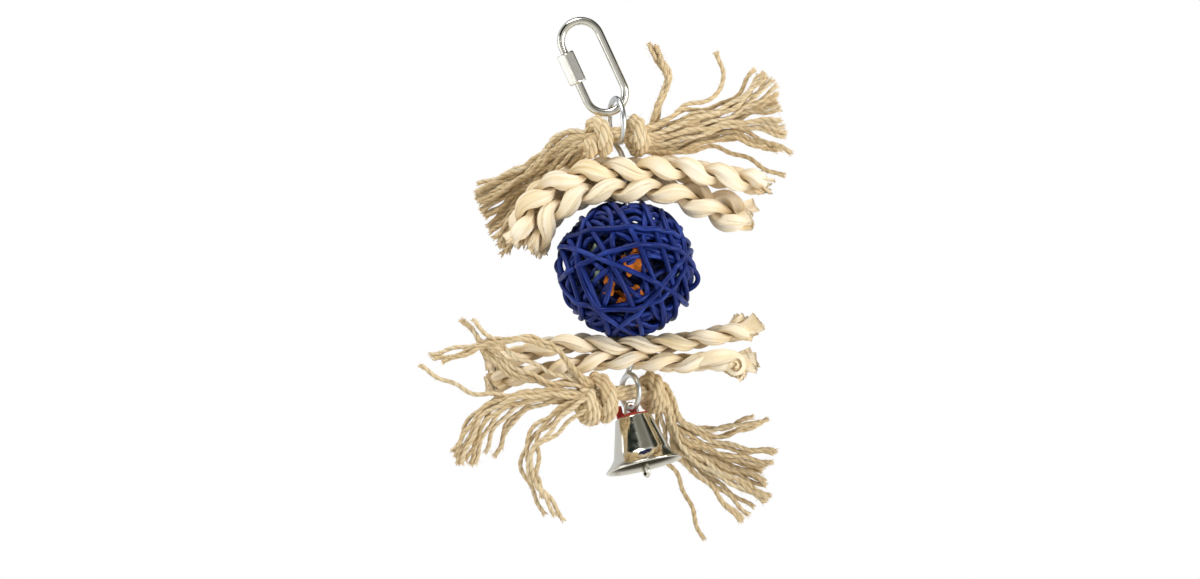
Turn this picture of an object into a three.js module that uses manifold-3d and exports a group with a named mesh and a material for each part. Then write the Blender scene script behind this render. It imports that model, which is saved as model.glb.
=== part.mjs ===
// Hanging chew toy for cage birds. A galvanised wire with a ring bent at each end carries a ball wound from
// dyed rattan cane, between four plaits of corn husk. A jute rope is knotted into each ring and its tails are
// unlaid into yarns. A quick link hangs the toy on a cage bar, and a small bell hangs from the lower ring.
// Millimetres, +Z up, +Y away from the viewer. Everything is placed about the ball's centre, with the wire on
// the Z axis, and the finished group is moved so that the place where the link hangs is the origin.
import * as THREE from 'three';
import { mergeVertices } from 'three/addons/utils/BufferGeometryUtils.js';
import Module from 'manifold-3d';

const wasm = await Module();
wasm.setup();

// Driving dimensions in millimetres, angles in degrees
const seatGap = 0.3; // left between pieces that rest on each other
const boreGap = 0.35; // round the wire, where a piece is threaded on it

const linkLength = 39; // overall
const linkWidth = 17.8; // overall
const linkRod = 3;
const linkLean = 23; // the link's top leans to the left
const linkContact = 60; // how far round the lower bow the ring sits, from its lowest point
const linkMouth = 5; // opening in the rod that the sleeve closes
const sleeveLength = 12;
const sleeveFlats = 6.4; // across the hexagon's flats
const sleeveRaise = 2.8; // sleeve's middle above the link's middle
const sleeveOverlap = 1.2; // sleeve past the upper end of the mouth
const sleeveFit = 0.25; // round the rod

const wireDiameter = 2.1;
const topRingRadius = 8.5; // centre line
const topRingTurn = 18; // the ring's near side is turned to the right
const topRingOffset = 2; // ring's centre to the left of the wire
const topRingNeck = 5.5; // from the plaits to the ring's centre line
const bottomRingRadius = 6.4;
const bottomRingTurn = 30;
const bottomRingNeck = 2.4;

const ropeDiameter = 6.2;
const ropeSqueeze = 0.9; // how far a knot's turn is pressed into the rope inside it
const knotTurns = 1.2;
const yarnDiameter = 1.9;
const tailFlare = 9; // diameter to which a rope's end opens where its yarns leave it

const plaitPeriod = 37.5; // length in which a strand comes back to the same edge
const plaitSwing = 5.9; // a strand's reach to each side of the plait's middle
const upperPlaitLift = 2.25; // a strand's reach above and below the middle of a plait over the ball
const lowerPlaitLift = 1.7; // the same under the ball, where the plaits are pressed flatter
const plaitNest = 0.6; // how far a plait's wavy face settles over the ball
const upperPlaitEdge = 5.5; // a strand's thickness where it rounds the edge of a plait over the ball
const lowerPlaitEdge = 4.3; // the same under the ball

const ballDiameter = 52;
const caneDiameter = 2;
const caneLayers = 4;
const layerGap = 0.4;
const canesPerLayer = 3;
const turnsPerCane = 2;
const capAngle = 27; // left open round the axis that a layer is wound about
const turnTilt = 6.5; // how far the turns lean to and fro
const caneEndGap = 3; // between one cane's end and the next one's start

const stripWidth = 4.2;
const stripFold = 3.2; // length of one pleat
const stripPleat = 1.5; // height of one pleat
const stripThickness = 0.5;

const bellHeight = 19;
const bellCrown = 13.7; // diameter at the shoulder
const bellMouth = 29;
const bellWall = 0.7;
const bellDrop = 2.9; // crown's top below the middle of the ring's wire
const bellLeanRight = 12;
const bellLeanNear = 8;
const stapleWire = 1.3;
const stapleSpan = 5.4; // between the middles of its legs
const clapperWire = 1.4;
const clapperWidth = 4.4; // overall
const clapperShow = 4.4; // past the bell's mouth
const tabWidth = 9;
const tabHeight = 5;
const tabDepth = 7.6;
const tabThickness = 0.8;
const tabNotch = 3.8;
const tabBand = 2.1; // what the notch leaves of the tab's height

// Sizes that follow from those
const rad = THREE.MathUtils.degToRad;
const ballRadius = ballDiameter / 2;
const strandWidth = 0.95 * plaitSwing;
const strandThickness = (lift) => 1.6 * lift - 2.6 * seatGap; // what is left where two strands cross
const upperThickness = 2 * upperPlaitLift + strandThickness(upperPlaitLift);
const lowerThickness = 2 * lowerPlaitLift + strandThickness(lowerPlaitLift);
const secondPlait = ballRadius - plaitNest + upperThickness / 2; // heights of the plaits' middles at the wire
const firstPlait = secondPlait + upperThickness + seatGap;
const thirdPlait = -(ballRadius - plaitNest + lowerThickness / 2);
const fourthPlait = thirdPlait - lowerThickness - seatGap;
const linkRadius = (linkWidth - linkRod) / 2;
const linkStraight = linkLength - linkWidth;

// Builds a vector from x, y and z
const at = (x, y, z) => new THREE.Vector3(x, y, z);

// Points of a flat ellipse, for a tube's section
function ellipse(halfWidth, halfHeight, sides) {
  const corners = Array.from({ length: sides }, (_, k) => (2 * Math.PI * (k + 0.5)) / sides);
  return corners.map((a) => new THREE.Vector2(halfWidth * Math.cos(a), halfHeight * Math.sin(a)));
}

// Sweeps a section along a smooth curve, with one ring at each point, so that bends get more rings. The
// section's first axis lies along the direction given for each ring, where there is one, and its second axis is
// stretched by the ring's own factor.
function swept(points, section, widths = null, factors = null) {
  const path = new THREE.CatmullRomCurve3(points);
  path.getUtoTmapping = (u) => u;
  const steps = points.length - 1;
  if (widths) {
    const tangents = points.map((_, k) => path.getTangent(k / steps));
    const binormals = tangents.map((t, k) => t.clone().cross(widths[k]).normalize());
    const normals = binormals.map((b, k) => b.clone().cross(tangents[k]));
    path.computeFrenetFrames = () => ({ tangents, normals, binormals });
  }
  const options = { steps, extrudePath: path, bevelEnabled: false };
  const geometry = new THREE.ExtrudeGeometry(new THREE.Shape(section), options);
  if (factors) stretch(geometry.attributes.position, points, path.computeFrenetFrames(), factors);
  return geometry;
}

// Stretches each ring of a sweep along its binormal. A vertex belongs to the ring whose plane it lies in.
function stretch(vertices, points, { tangents, binormals }, factors) {
  for (let v = 0; v < vertices.count; v += 1) {
    const place = at(0, 0, 0).fromBufferAttribute(vertices, v);
    const offsets = points.map((point) => place.clone().sub(point));
    const misses = offsets.map((offset, k) => Math.abs(offset.dot(tangents[k])) + 0.01 * offset.length());
    const ring = misses.indexOf(Math.min(...misses));
    const height = offsets[ring].dot(binormals[ring]);
    place.addScaledVector(binormals[ring], height * (factors[ring] - 1));
    vertices.setXYZ(v, place.x, place.y, place.z);
  }
}

// A round bar or cord along a curve
const tube = (points, diameter, sides) => swept(points, ellipse(diameter / 2, diameter / 2, sides));

// Turns a closed geometry into a solid that can be joined and cut
function solid(geometry) {
  const shared = geometry.clone();
  shared.deleteAttribute('normal');
  shared.deleteAttribute('uv');
  const merged = mergeVertices(shared, 1e-4);
  const vertProperties = new Float32Array(merged.attributes.position.array);
  const triVerts = new Uint32Array(merged.index.array);
  return new wasm.Manifold(new wasm.Mesh({ numProp: 3, vertProperties, triVerts }));
}

// Turns a solid back into a geometry
function surface(body) {
  const mesh = body.getMesh();
  const geometry = new THREE.BufferGeometry();
  geometry.setAttribute('position', new THREE.BufferAttribute(mesh.vertProperties, 3));
  geometry.setIndex(new THREE.BufferAttribute(mesh.triVerts, 1));
  return geometry;
}

const fused = (geometries) => surface(geometries.map(solid).reduce((sum, body) => sum.add(body)));
const drilled = (geometry, tools) =>
  surface(tools.map(solid).reduce((sum, tool) => sum.subtract(tool), solid(geometry)));

// A bar of constant section along Z, for drilling
function rod(diameter, low, high, sides, x = 0, y = 0) {
  const bar = new THREE.CylinderGeometry(diameter / 2, diameter / 2, high - low, sides);
  return bar.rotateX(Math.PI / 2).translate(x, y, (low + high) / 2);
}

// Turns a profile of radius and height about Z
function turned(profile, sides) {
  const outline = profile.map(([radius, height]) => new THREE.Vector2(radius, height));
  return new THREE.LatheGeometry(outline, sides).rotateX(Math.PI / 2);
}

const toy = new THREE.Group();

// Adds a named piece with its own finish
function piece(name, geometry, [color, roughness, metalness], parent = toy) {
  const mesh = new THREE.Mesh(geometry, new THREE.MeshStandardMaterial({ color, roughness, metalness }));
  mesh.name = name;
  parent.add(mesh);
  return mesh;
}

const nickel = [0xc9c8c2, 0.15, 1];
const zinc = [0xb4b8ba, 0.4, 1];
const jute = [0xc2a378, 0.9, 0];
const husk = [0xeadfc0, 0.7, 0];
const blueCane = [0x2b2f8a, 0.45, 0];
const orangePaper = [0xdd7c24, 0.8, 0];
const greenPaper = [0x8a9c82, 0.8, 0];
const redFibre = [0xc04030, 0.8, 0];

// Points on an arc in a plane, from one angle to another, about a centre
function arc(centre, across, up, radius, from, to, count) {
  const angles = Array.from({ length: count + 1 }, (_, k) => rad(from + ((to - from) * k) / count));
  return angles.map((a) =>
    centre.clone().addScaledVector(across, radius * Math.cos(a)).addScaledVector(up, radius * Math.sin(a)));
}

// Hanger wire: a ring, a neck, the straight wire, a neck and a ring
const wireRadius = wireDiameter / 2;
const topNeck = firstPlait + upperThickness / 2 + seatGap;
const topRingHeight = topNeck + topRingNeck + topRingRadius;
const bottomNeck = fourthPlait - lowerThickness / 2 - seatGap;
const bottomRingHeight = bottomNeck - bottomRingNeck - bottomRingRadius;
const topRingCentre = at(-topRingOffset, 0, topRingHeight);
const bottomRingCentre = at(0, 0, bottomRingHeight);
const nearSide = (turn) => at(Math.sin(rad(turn)), -Math.cos(rad(turn)), 0);
const upward = at(0, 0, 1);

function hangerWire() {
  const topRing = arc(topRingCentre, nearSide(topRingTurn), upward, topRingRadius, -66, 232, 16);
  const bottomSide = nearSide(bottomRingTurn);
  const bottomRing = arc(bottomRingCentre, bottomSide, upward, bottomRingRadius, 128, -240, 14);
  const straight = [at(0, 0, topNeck), at(0, 0, 0), at(0, 0, bottomNeck)];
  return tube([...topRing, ...straight, ...bottomRing], wireDiameter, 8);
}
piece('hanger_wire', hangerWire(), zinc);

// Quick link: its lower bow hangs in the upper ring, a little way round from the bow's lowest point
const link = new THREE.Group();
const contactAngle = rad(linkContact);
const wireWidth = wireRadius / Math.cos(rad(topRingTurn));
const contactReach = linkRadius - linkRod / 2 - wireWidth - seatGap;
const bowCentre = at(
  topRingCentre.x - contactReach * Math.sin(contactAngle), 0,
  topRingHeight + topRingRadius + contactReach * Math.cos(contactAngle));
link.rotation.y = -rad(linkLean);
link.position.copy(bowCentre).add(at(0, 0, linkStraight / 2).applyEuler(link.rotation));
toy.add(link);

const mouthTop = sleeveRaise + sleeveLength / 2 - sleeveOverlap;
const right = at(1, 0, 0);

function linkBody() {
  const upper = arc(at(0, 0, linkStraight / 2), right, upward, linkRadius, 180, 0, 8);
  const lower = arc(at(0, 0, -linkStraight / 2), right, upward, linkRadius, 0, -180, 8);
  const ends = [at(-linkRadius, 0, mouthTop), at(-linkRadius, 0, mouthTop - linkMouth)];
  return tube([ends[0], ...upper, ...lower, ends[1]], linkRod, 10);
}
piece('quick_link_body', linkBody(), nickel, link);

// The sleeve is a hexagonal bar with chamfered ends, bored for the rod
function linkSleeve() {
  const low = sleeveRaise - sleeveLength / 2;
  const high = sleeveRaise + sleeveLength / 2;
  const corner = sleeveFlats / Math.sqrt(3);
  const chamfer = corner - sleeveFlats / 2 + 0.2;
  const hexagon = rod(2 * corner, low, high, 6);
  const rounded = turned([
    [0, low], [corner - chamfer, low], [corner, low + chamfer],
    [corner, high - chamfer], [corner - chamfer, high], [0, high],
  ], 24);
  const bore = rod(linkRod + 2 * sleeveFit, low - 1, high + 1, 14);
  const body = solid(hexagon).intersect(solid(rounded)).subtract(solid(bore));
  return surface(body).translate(-linkRadius, 0, 0);
}
piece('quick_link_sleeve', linkSleeve(), nickel, link);

// Rope: the part inside a ring lies along the ring's own axis, and each knot is a turn of the rope round it.
// Sizes along the axis are from the ring's middle, to the left as negative.
const ropeRadius = ropeDiameter / 2;
const ropeUnit = ropeDiameter / 6.2; // routes and yarns are drawn for this rope, and grow with it
const knotRadius = ropeDiameter - ropeSqueeze;
const ropeSides = 7;

function knotTurn(knotHeight, { middle, rise = 0, size, pitch, hand }) {
  const count = 12;
  const points = Array.from({ length: count + 1 }, (_, k) => {
    const share = k / count;
    const angle = rad(-140) + hand * 2 * Math.PI * knotTurns * share;
    const reach = size * Math.min(1, 6 * Math.min(share, 1 - share) + 0.35);
    const along = ropeUnit * (middle + pitch * (share - 0.5) * knotTurns);
    return at(along, reach * Math.cos(angle), knotHeight + ropeUnit * rise + reach * Math.sin(angle));
  });
  return tube(points, ropeDiameter, ropeSides);
}

// Builds a rope and returns the place and heading of both its ends, left and right
function rope(name, ringCentre, ringTurn, knotHeight, route, knots) {
  const holder = new THREE.Group();
  holder.position.copy(ringCentre);
  holder.rotation.z = rad(ringTurn);
  holder.updateMatrix();
  toy.add(holder);
  const points = route.map((row) => at(...row).multiplyScalar(ropeUnit).add(at(0, 0, knotHeight)));
  const turns = knots.map((knot) => knotTurn(knotHeight, knot));
  piece(name, fused([tube(points, ropeDiameter, ropeSides), ...turns]), jute, holder);
  const outer = points.map((p) => p.clone().applyMatrix4(holder.matrix));
  const last = outer.length - 1;
  return [[0, 1], [last, last - 1]].map(([end, before]) => ({
    place: outer[end],
    away: outer[end].clone().sub(outer[before]).normalize(),
  }));
}

const knotReach = knotRadius + ropeRadius;
const topKnotHeight = topNeck + knotReach - topRingHeight;
const bottomKnotHeight = bottomNeck - knotReach - 1.6 * ropeUnit - bottomRingHeight;
const [topLeft, topRight] = rope('top_rope', topRingCentre, topRingTurn, topKnotHeight,
  [
    [-15, 6, -2.4], [-11.5, 2.5, -1.4], [-8, 0.3, -0.4], [0, 0, 0.6], [7, 0, 0], [13.5, 0.6, -1],
  ],
  [
    { middle: -7.8, size: knotRadius, pitch: 4.8, hand: 1 },
    { middle: 7.6, size: knotRadius, pitch: 1.6, hand: -1 },
  ]);
const [bottomLeft, bottomRight] = rope('bottom_rope', bottomRingCentre, bottomRingTurn, bottomKnotHeight,
  [
    [-22, -1.2, 1.4], [-17, -0.4, 0.6], [-13, 0, 0], [0, 0, 1], [8, 0, 0], [14, 0.6, -1.2],
  ],
  [
    { middle: -14.4, rise: -1, size: 1.38 * knotRadius, pitch: 5, hand: 1 },
    { middle: -18.6, rise: -3.4, size: 0.83 * knotRadius, pitch: 1.5, hand: -1 },
    { middle: 9.2, rise: 0.6, size: knotRadius, pitch: 1.6, hand: -1 },
  ]);

// Loose tails: each yarn leaves the flared end of its rope and runs through a bend to its cut end. A row holds
// the bend and the end, chosen by hand, from the rope's own end. Yarns leave in the order of their directions.
function tail(name, { place, away }, yarns) {
  const side = away.clone().cross(upward).normalize();
  const over = side.clone().cross(away);
  const lean = ([bend]) => Math.atan2(at(...bend).dot(over), at(...bend).dot(side));
  const spot = (offset) => at(...offset).multiplyScalar(ropeUnit).add(place);
  const ordered = [...yarns].sort((a, b) => lean(a) - lean(b));
  const stubLength = ropeDiameter / 2;
  const stub = turned([[0, 0], [ropeRadius, 0], [tailFlare / 2, stubLength], [0, stubLength]], ropeSides);
  const start = place.clone().addScaledVector(away, seatGap);
  const toStub = new THREE.Matrix4().makeBasis(over, side, away).setPosition(start);
  const slot = (2 * Math.PI) / ordered.length;
  const shifts = ordered.map((yarn, k) => at(1, 0, 0).applyAxisAngle(upward, lean(yarn) - slot * k));
  const mean = shifts.reduce((sum, shift) => sum.add(shift));
  const strands = ordered.map(([bend, end], k) => {
    const angle = slot * k + Math.atan2(mean.y, mean.x);
    const reach = (tailFlare / 2 - 1.2) * (k % 3 === 1 ? 0.36 : 1);
    const sideways = side.clone().multiplyScalar(reach * Math.cos(angle));
    const outward = sideways.addScaledVector(over, reach * Math.sin(angle));
    const foot = start.clone().add(outward).addScaledVector(away, stubLength - 0.5);
    const knee = foot.clone().addScaledVector(outward, 0.7).addScaledVector(away, ropeDiameter);
    const route = new THREE.CatmullRomCurve3([foot, knee, spot(bend), spot(end)]);
    return tube(route.getSpacedPoints(5), yarnDiameter, 4);
  });
  piece(name, fused([stub.applyMatrix4(toStub), ...strands]), jute);
}

tail('top_rope_left_tail', topLeft, [
  [[-14, 12, -4.5], [-35, 15, -14.5]], [[-14, 14, -5.5], [-36, 17, -17.5]],
  [[-14, 11.5, -7.5], [-34, 13, -20.5]], [[-13, 15, -8.5], [-34, 18, -22.5]],
  [[-13, 13, -10.5], [-33, 14, -25.5]], [[-12, 16, -11.5], [-32, 18, -29.5]],
  [[-11, 12, -13.5], [-30, 13, -32.5]], [[-10, 15, -13.5], [-28, 17, -36.5]],
  [[-9, 13, -15.5], [-26, 14, -38.5]],
]);
tail('top_rope_right_tail', topRight, [
  [[9, -1.5, 21], [2.5, -3.5, 35]], [[10.5, 1.5, 16], [6, 1.5, 29]], [[26.5, -0.5, 17], [25.5, -3.5, 31]],
  [[29.5, 2.5, 13], [39, 3.5, 24]], [[31.5, -2.5, 11], [42.5, -6.5, 21.5]],
  [[33.5, 1.5, 9], [47, -0.5, 17.5]], [[32.5, 4.5, 7], [46.5, 6.5, 12]], [[31.5, -3.5, 5], [48, -6.5, 5.5]],
  [[29.5, 2.5, 2.5], [51.5, 3.5, -6.5]], [[27.5, -1.5, -0.5], [41.5, -2.5, -4.5]],
  [[24, 8.5, -4], [48.5, 10.5, -15.5]],
]);
tail('bottom_rope_left_tail', bottomLeft, [
  [[-19.5, -3, 18.5], [-54.5, -1, 16.5]], [[-26.5, -5, 17.5], [-50, -4, 13]],
  [[-29.5, -1.5, 10.5], [-42, 0, 28]], [[-25.5, -3, 14.5], [-38.5, -3, 28]],
  [[-38.5, -2, 1.5], [-58.5, 0, 11.5]], [[-37.5, -1, -4.5], [-47.5, 0, -19.5]],
  [[-34.5, -4, -5.5], [-44.5, -4, -24]], [[-31.5, -2, -7.5], [-40, -1, -24]],
  [[-25.5, 0, -9.5], [-30, 3, -19.5]], [[-14.5, -3, -11.5], [-17, -4, -27.5]],
  [[-22.5, -1, -22.5], [-15, 1, -44]], [[-19.5, -4, -24.5], [-7.5, -3, -46]],
]);
tail('bottom_rope_right_tail', bottomRight, [
  [[16, 4.5, -5], [31.5, 2.5, -11]], [[20, 7.5, -7], [38, 9.5, -11]], [[19, 3.5, -12], [40, 2.5, -22]],
  [[18, 6.5, -14], [37.5, 8.5, -27]], [[17, 9.5, -16], [36.5, 12.5, -30]],
  [[17, 4.5, -19], [37.5, 4.5, -38]], [[15, 7.5, -20], [33, 10.5, -41]], [[12, 5.5, -23], [26, 5.5, -47]],
  [[8, 8.5, -25], [12, 9.5, -53.5]],
]);

// Plaits: three strands cross over and under along a spine in the XZ plane. Along the spine a strand swings
// across as a sine and lifts as a sine of twice the rate, a third of a period after the one before it. It is flat
// where strands cross and plump where it rounds an edge. The hand says which way strands rise along the near edge,
// and the phase is the first strand's at the wire. The plait can be turned about its spine, by nothing at the wire
// and fully at its right end. A spine's rows are x and the rise over the plait's height at the wire, drawn for the
// period below, and they grow with it.
const plaitUnit = plaitPeriod / 37.5;

function plait(name, { height, lift, edge, hand, phase, twist = 0, spine }) {
  const rows = spine.map(([x, rise]) => at(plaitUnit * x, 0, height + plaitUnit * rise));
  const middle = new THREE.CatmullRomCurve3(rows);
  const length = middle.getLength();
  const wirePoint = rows.findIndex((row) => row.x === 0);
  const toWire = middle.getLengths(200)[Math.round((200 * wirePoint) / (rows.length - 1))];
  const steps = Math.round(length / (0.104 * plaitPeriod));
  const bore = rod(wireDiameter + 2 * boreGap, -ballDiameter, ballDiameter, 10);
  ['a', 'b', 'c'].forEach((letter, k) => {
    const stations = Array.from({ length: steps + 1 }, (_, n) => {
      const share = n / steps;
      const turn = 2 * Math.PI * ((share * length - toWire) / plaitPeriod + k / 3) + rad(phase);
      const along = middle.getTangentAt(share);
      const past = Math.max(0, share * length - toWire) / (length - toWire);
      const lean = rad(twist) * past * past * (3 - 2 * past);
      const up = at(-along.z, 0, along.x).applyAxisAngle(along, lean);
      const across = up.clone().cross(along);
      const place = middle.getPointAt(share).addScaledVector(up, hand * lift * Math.sin(2 * turn));
      const rounding = Math.max(0, (Math.sin(turn) ** 2 - 0.45) / 0.55) ** 1.5;
      const factor = 1 + (edge / strandThickness(lift) - 1) * rounding;
      return { up, factor, place: place.addScaledVector(across, -plaitSwing * Math.sin(turn)) };
    });
    const places = stations.map((s) => s.place);
    const factors = stations.map((s) => s.factor);
    const widths = stations.map((s, n) => {
      const ahead = places[Math.min(n + 1, steps)].clone().sub(places[Math.max(n - 1, 0)]);
      return s.up.clone().cross(ahead).normalize();
    });
    const section = ellipse(strandWidth / 2, strandThickness(lift) / 2, 6);
    piece(`${name}_strand_${letter}`, drilled(swept(places, section, widths, factors), [bore]), husk);
  });
}

const upperPlait = { lift: upperPlaitLift, edge: upperPlaitEdge };
const lowerPlait = { lift: lowerPlaitLift, edge: lowerPlaitEdge };
plait('plait_1', { ...upperPlait, height: firstPlait, hand: 1, phase: 75, spine: [
  [-39.5, -25.7], [-37.6, -16.7], [-31.6, -8.3], [-20.4, -2.5], [-9, 0.2], [0, 0],
  [8, 0], [16, 0.2], [29, -2.1], [43.6, -5.1], [52, -6.9],
] });
plait('plait_2', { ...upperPlait, height: secondPlait, hand: -1, phase: 45, twist: 38, spine: [
  [-32.6, -21.6], [-28.6, -9.9], [-18.6, -2.6], [-8.5, 0.4], [0, 0],
  [7, 0.2], [13, -0.1], [22, -2.5], [34, -7.1], [45, -12.1],
] });
plait('plait_3', { ...lowerPlait, height: thirdPlait, hand: 1, phase: 45, spine: [
  [-50, -4.9], [-36, -1.1], [-28, 0.7], [-19, 1.5], [-9.4, 0.2], [0, 0],
  [13, 0.1], [27, 1.5], [35, 3.1], [45, 3.5],
] });
plait('plait_4', { ...lowerPlait, height: fourthPlait, hand: -1, phase: 105, spine: [
  [-50.5, -5.7], [-25.7, -2.5], [-11, 0], [0, 0], [11, -1.1], [21, -1.7], [31, -1.5], [42, -3.5],
] });

// Rattan ball: each layer is wound about its own axis. A turn stays on its layer's sphere and leans to and fro
// as the winding goes on, so turns of one layer never cross and layers lie one over the other.
const layerAxes = [[0.9, 0.1, 0.4], [-0.55, 0.45, 0.6], [0.5, -0.7, 0.4], [0.4, 0.2, 0.9]];
const stepsPerTurn = 20;

function caneRoute(layer, cane, start) {
  const axis = at(...layerAxes[layer]).normalize();
  const first = axis.clone().cross(upward).normalize();
  const second = axis.clone().cross(first);
  const radius = ballRadius - caneDiameter / 2 - layer * (caneDiameter + layerGap);
  const turns = canesPerLayer * turnsPerCane;
  const endShare = caneEndGap / (2 * Math.PI * radius * turns);
  const from = cane / canesPerLayer + endShare / 2;
  const to = (cane + 1) / canesPerLayer - endShare / 2;
  const count = turnsPerCane * stepsPerTurn;
  return Array.from({ length: count + 1 }, (_, k) => {
    const share = from + ((to - from) * k) / count;
    const round = 2 * Math.PI * turns * share + rad(start);
    const lean = rad(turnTilt) * Math.cos(round - 2 * Math.PI * 1.2 * share - layer);
    const polar = rad(capAngle) + (Math.PI - 2 * rad(capAngle)) * share + lean;
    return axis.clone().multiplyScalar(radius * Math.cos(polar))
      .addScaledVector(first, radius * Math.sin(polar) * Math.cos(round))
      .addScaledVector(second, radius * Math.sin(polar) * Math.sin(round));
  });
}

// Least gap between a cane and itself, on its points, leaving out neighbours along the cane
function leastGap(points) {
  let least = Infinity;
  points.forEach((p, i) => {
    const others = points.slice(i + stepsPerTurn / 2);
    least = Math.min(least, ...others.map((q) => p.distanceTo(q)));
  });
  return least - caneDiameter;
}

const caneNumbers = Array.from({ length: canesPerLayer }, (_, k) => k);
const layerRoutes = (layer, start) => caneNumbers.map((cane) => caneRoute(layer, cane, start));
const wireGap = (routes) =>
  Math.min(...routes.flat().map((p) => Math.hypot(p.x, p.y))) - wireRadius - caneDiameter / 2;

let leastCaneGap = Infinity;
let leastWireGap = Infinity;
for (let layer = 0; layer < caneLayers; layer += 1) {
  // A layer starts at the angle that leaves most room for the wire
  const starts = Array.from({ length: 90 }, (_, k) => 4 * k);
  const rooms = starts.map((start) => wireGap(layerRoutes(layer, start)));
  const best = rooms.indexOf(Math.max(...rooms));
  const routes = layerRoutes(layer, starts[best]);
  leastCaneGap = Math.min(leastCaneGap, ...routes.map(leastGap));
  leastWireGap = Math.min(leastWireGap, rooms[best]);
  routes.forEach((route, cane) => {
    const number = String(layer * canesPerLayer + cane + 1).padStart(2, '0');
    piece(`ball_cane_${number}`, tube(route, caneDiameter, 5), blueCane);
  });
}
console.log(`least gap of a cane to itself: ${leastCaneGap.toFixed(2)} mm`);
console.log(`least gap of a cane to the wire: ${leastWireGap.toFixed(2)} mm`);

// Paper strips in the ball: pleated bands that lie against the canes, bent to the sphere that they leave free
const hollowRadius = ballRadius - caneLayers * caneDiameter - (caneLayers - 1) * layerGap;
const stripReach = Math.sqrt((hollowRadius - seatGap) ** 2 - (stripWidth / 2) ** 2);

function paperStrip(pleats) {
  const edge = (shrink) => Array.from({ length: pleats + 1 }, (_, k) => {
    const angle = ((k - pleats / 2) * stripFold) / stripReach;
    const radius = stripReach - (k % 2 ? 0 : stripPleat) - shrink;
    return new THREE.Vector2(radius * Math.sin(angle), radius * Math.cos(angle));
  });
  const slant = stripThickness * Math.hypot(1, stripPleat / stripFold);
  const shape = new THREE.Shape([...edge(0), ...edge(slant).reverse()]);
  const band = new THREE.ExtrudeGeometry(shape, { depth: stripWidth, bevelEnabled: false });
  return band.translate(0, 0, -stripWidth / 2);
}

const stripPlaces = [
  { pleats: 6, aim: [0.2, -0.95, 0.2], roll: 20, finish: orangePaper },
  { pleats: 5, aim: [-0.3, -0.7, -0.65], roll: 150, finish: orangePaper },
  { pleats: 5, aim: [0.75, -0.4, -0.5], roll: 60, finish: orangePaper },
  { pleats: 5, aim: [-0.85, -0.4, 0.2], roll: 80, finish: greenPaper },
  { pleats: 5, aim: [0.6, 0.6, 0.5], roll: 30, finish: greenPaper },
  { pleats: 5, aim: [-0.5, 0.7, -0.5], roll: 140, finish: orangePaper },
];
stripPlaces.forEach(({ pleats, aim, roll, finish }, k) => {
  const outward = at(...aim).normalize();
  const long = upward.clone().cross(outward).normalize().applyAxisAngle(outward, rad(roll));
  const strip = piece(`paper_strip_${k + 1}`, paperStrip(pleats), finish);
  strip.applyMatrix4(new THREE.Matrix4().makeBasis(long, outward, long.clone().cross(outward)));
});

// Bell: it hangs on the lowest point of the bottom ring and leans as it lies in the photograph
const bell = new THREE.Group();
bell.position.copy(bottomRingCentre).add(at(0, 0, -bottomRingRadius));
bell.rotation.set(-rad(bellLeanNear), -rad(bellLeanRight), 0);
toy.add(bell);
const bellInner = new THREE.Group();
bellInner.rotation.z = rad(bottomRingTurn);
bell.add(bellInner);

// The cup is turned in one piece: flat crown, sharp shoulder, straight cone and a flared mouth
const crownTop = -bellDrop;
const mouthEdge = crownTop - bellHeight;
const legBore = stapleWire + 2 * seatGap;

function bellCup() {
  const crown = bellCrown / 2;
  const mouth = bellMouth / 2;
  const flareTop = mouthEdge + bellHeight * 0.26;
  const flareRadius = crown + (mouth - crown) * 0.5;
  const flare = mouth - flareRadius;
  const drop = flareTop - mouthEdge;
  const outer = [
    [0, crownTop], [crown - 0.8, crownTop], [crown, crownTop - 0.7], [flareRadius, flareTop],
    [flareRadius + flare * 0.45, flareTop - drop * 0.55], [mouth, mouthEdge + 0.9],
  ];
  const inner = [
    [mouth - 0.5, mouthEdge], [flareRadius + flare * 0.4 - bellWall, flareTop - drop * 0.6],
    [flareRadius - bellWall, flareTop], [crown - bellWall, crownTop - bellWall - 0.6],
    [0, crownTop - bellWall],
  ];
  const legs = [-1, 1].map((s) => rod(legBore, crownTop - 3, crownTop + 3, 8, (s * stapleSpan) / 2, 0));
  return drilled(turned([...outer, ...inner].reverse(), 24), legs);
}
piece('bell_cup', bellCup(), nickel, bellInner);

// The staple is a wire triangle whose bar lies inside the crown and whose ends meet on that bar
const stapleTop = wireRadius + stapleWire / 2 + 1.5 * seatGap;
const barHeight = crownTop - bellWall - clapperWire - 2 * seatGap - stapleWire / 2;

function staple() {
  const half = stapleSpan / 2;
  const bend = stapleWire * 0.7;
  const rightHalf = [
    at(seatGap, 0, barHeight), at(half - bend, 0, barHeight), at(half - bend * 0.3, 0, barHeight + bend * 0.3),
    at(half, 0, barHeight + bend), at(half, 0, crownTop + 0.6), at(half * 0.75, 0, stapleTop - 1.5),
    at(half * 0.4, 0, stapleTop - 0.3),
  ];
  const leftHalf = rightHalf.map((p) => at(-p.x, 0, p.z)).reverse();
  return tube([...rightHalf, at(0, 0, stapleTop), ...leftHalf], stapleWire, 8);
}
piece('bell_staple', staple(), nickel, bellInner);

// The clapper is a long narrow link of wire that hangs on the staple's bar
function clapper() {
  const half = (clapperWidth - clapperWire) / 2;
  const high = barHeight + stapleWire / 2 + seatGap + clapperWire / 2 - half;
  const low = mouthEdge - clapperShow + clapperWire / 2 + half;
  const near = at(0, 1, 0);
  const upper = arc(at(0, 0, high), near, upward, half, 10, 180, 6);
  const lower = arc(at(0, 0, low), near, upward, half, 180, 360, 6);
  const ends = [at(0, half, high - 1), at(0, half, high - 1.6)];
  return tube([ends[0], ...upper, ...lower, ends[1]], clapperWire, 7);
}
piece('bell_clapper', clapper(), nickel, bellInner);

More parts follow.
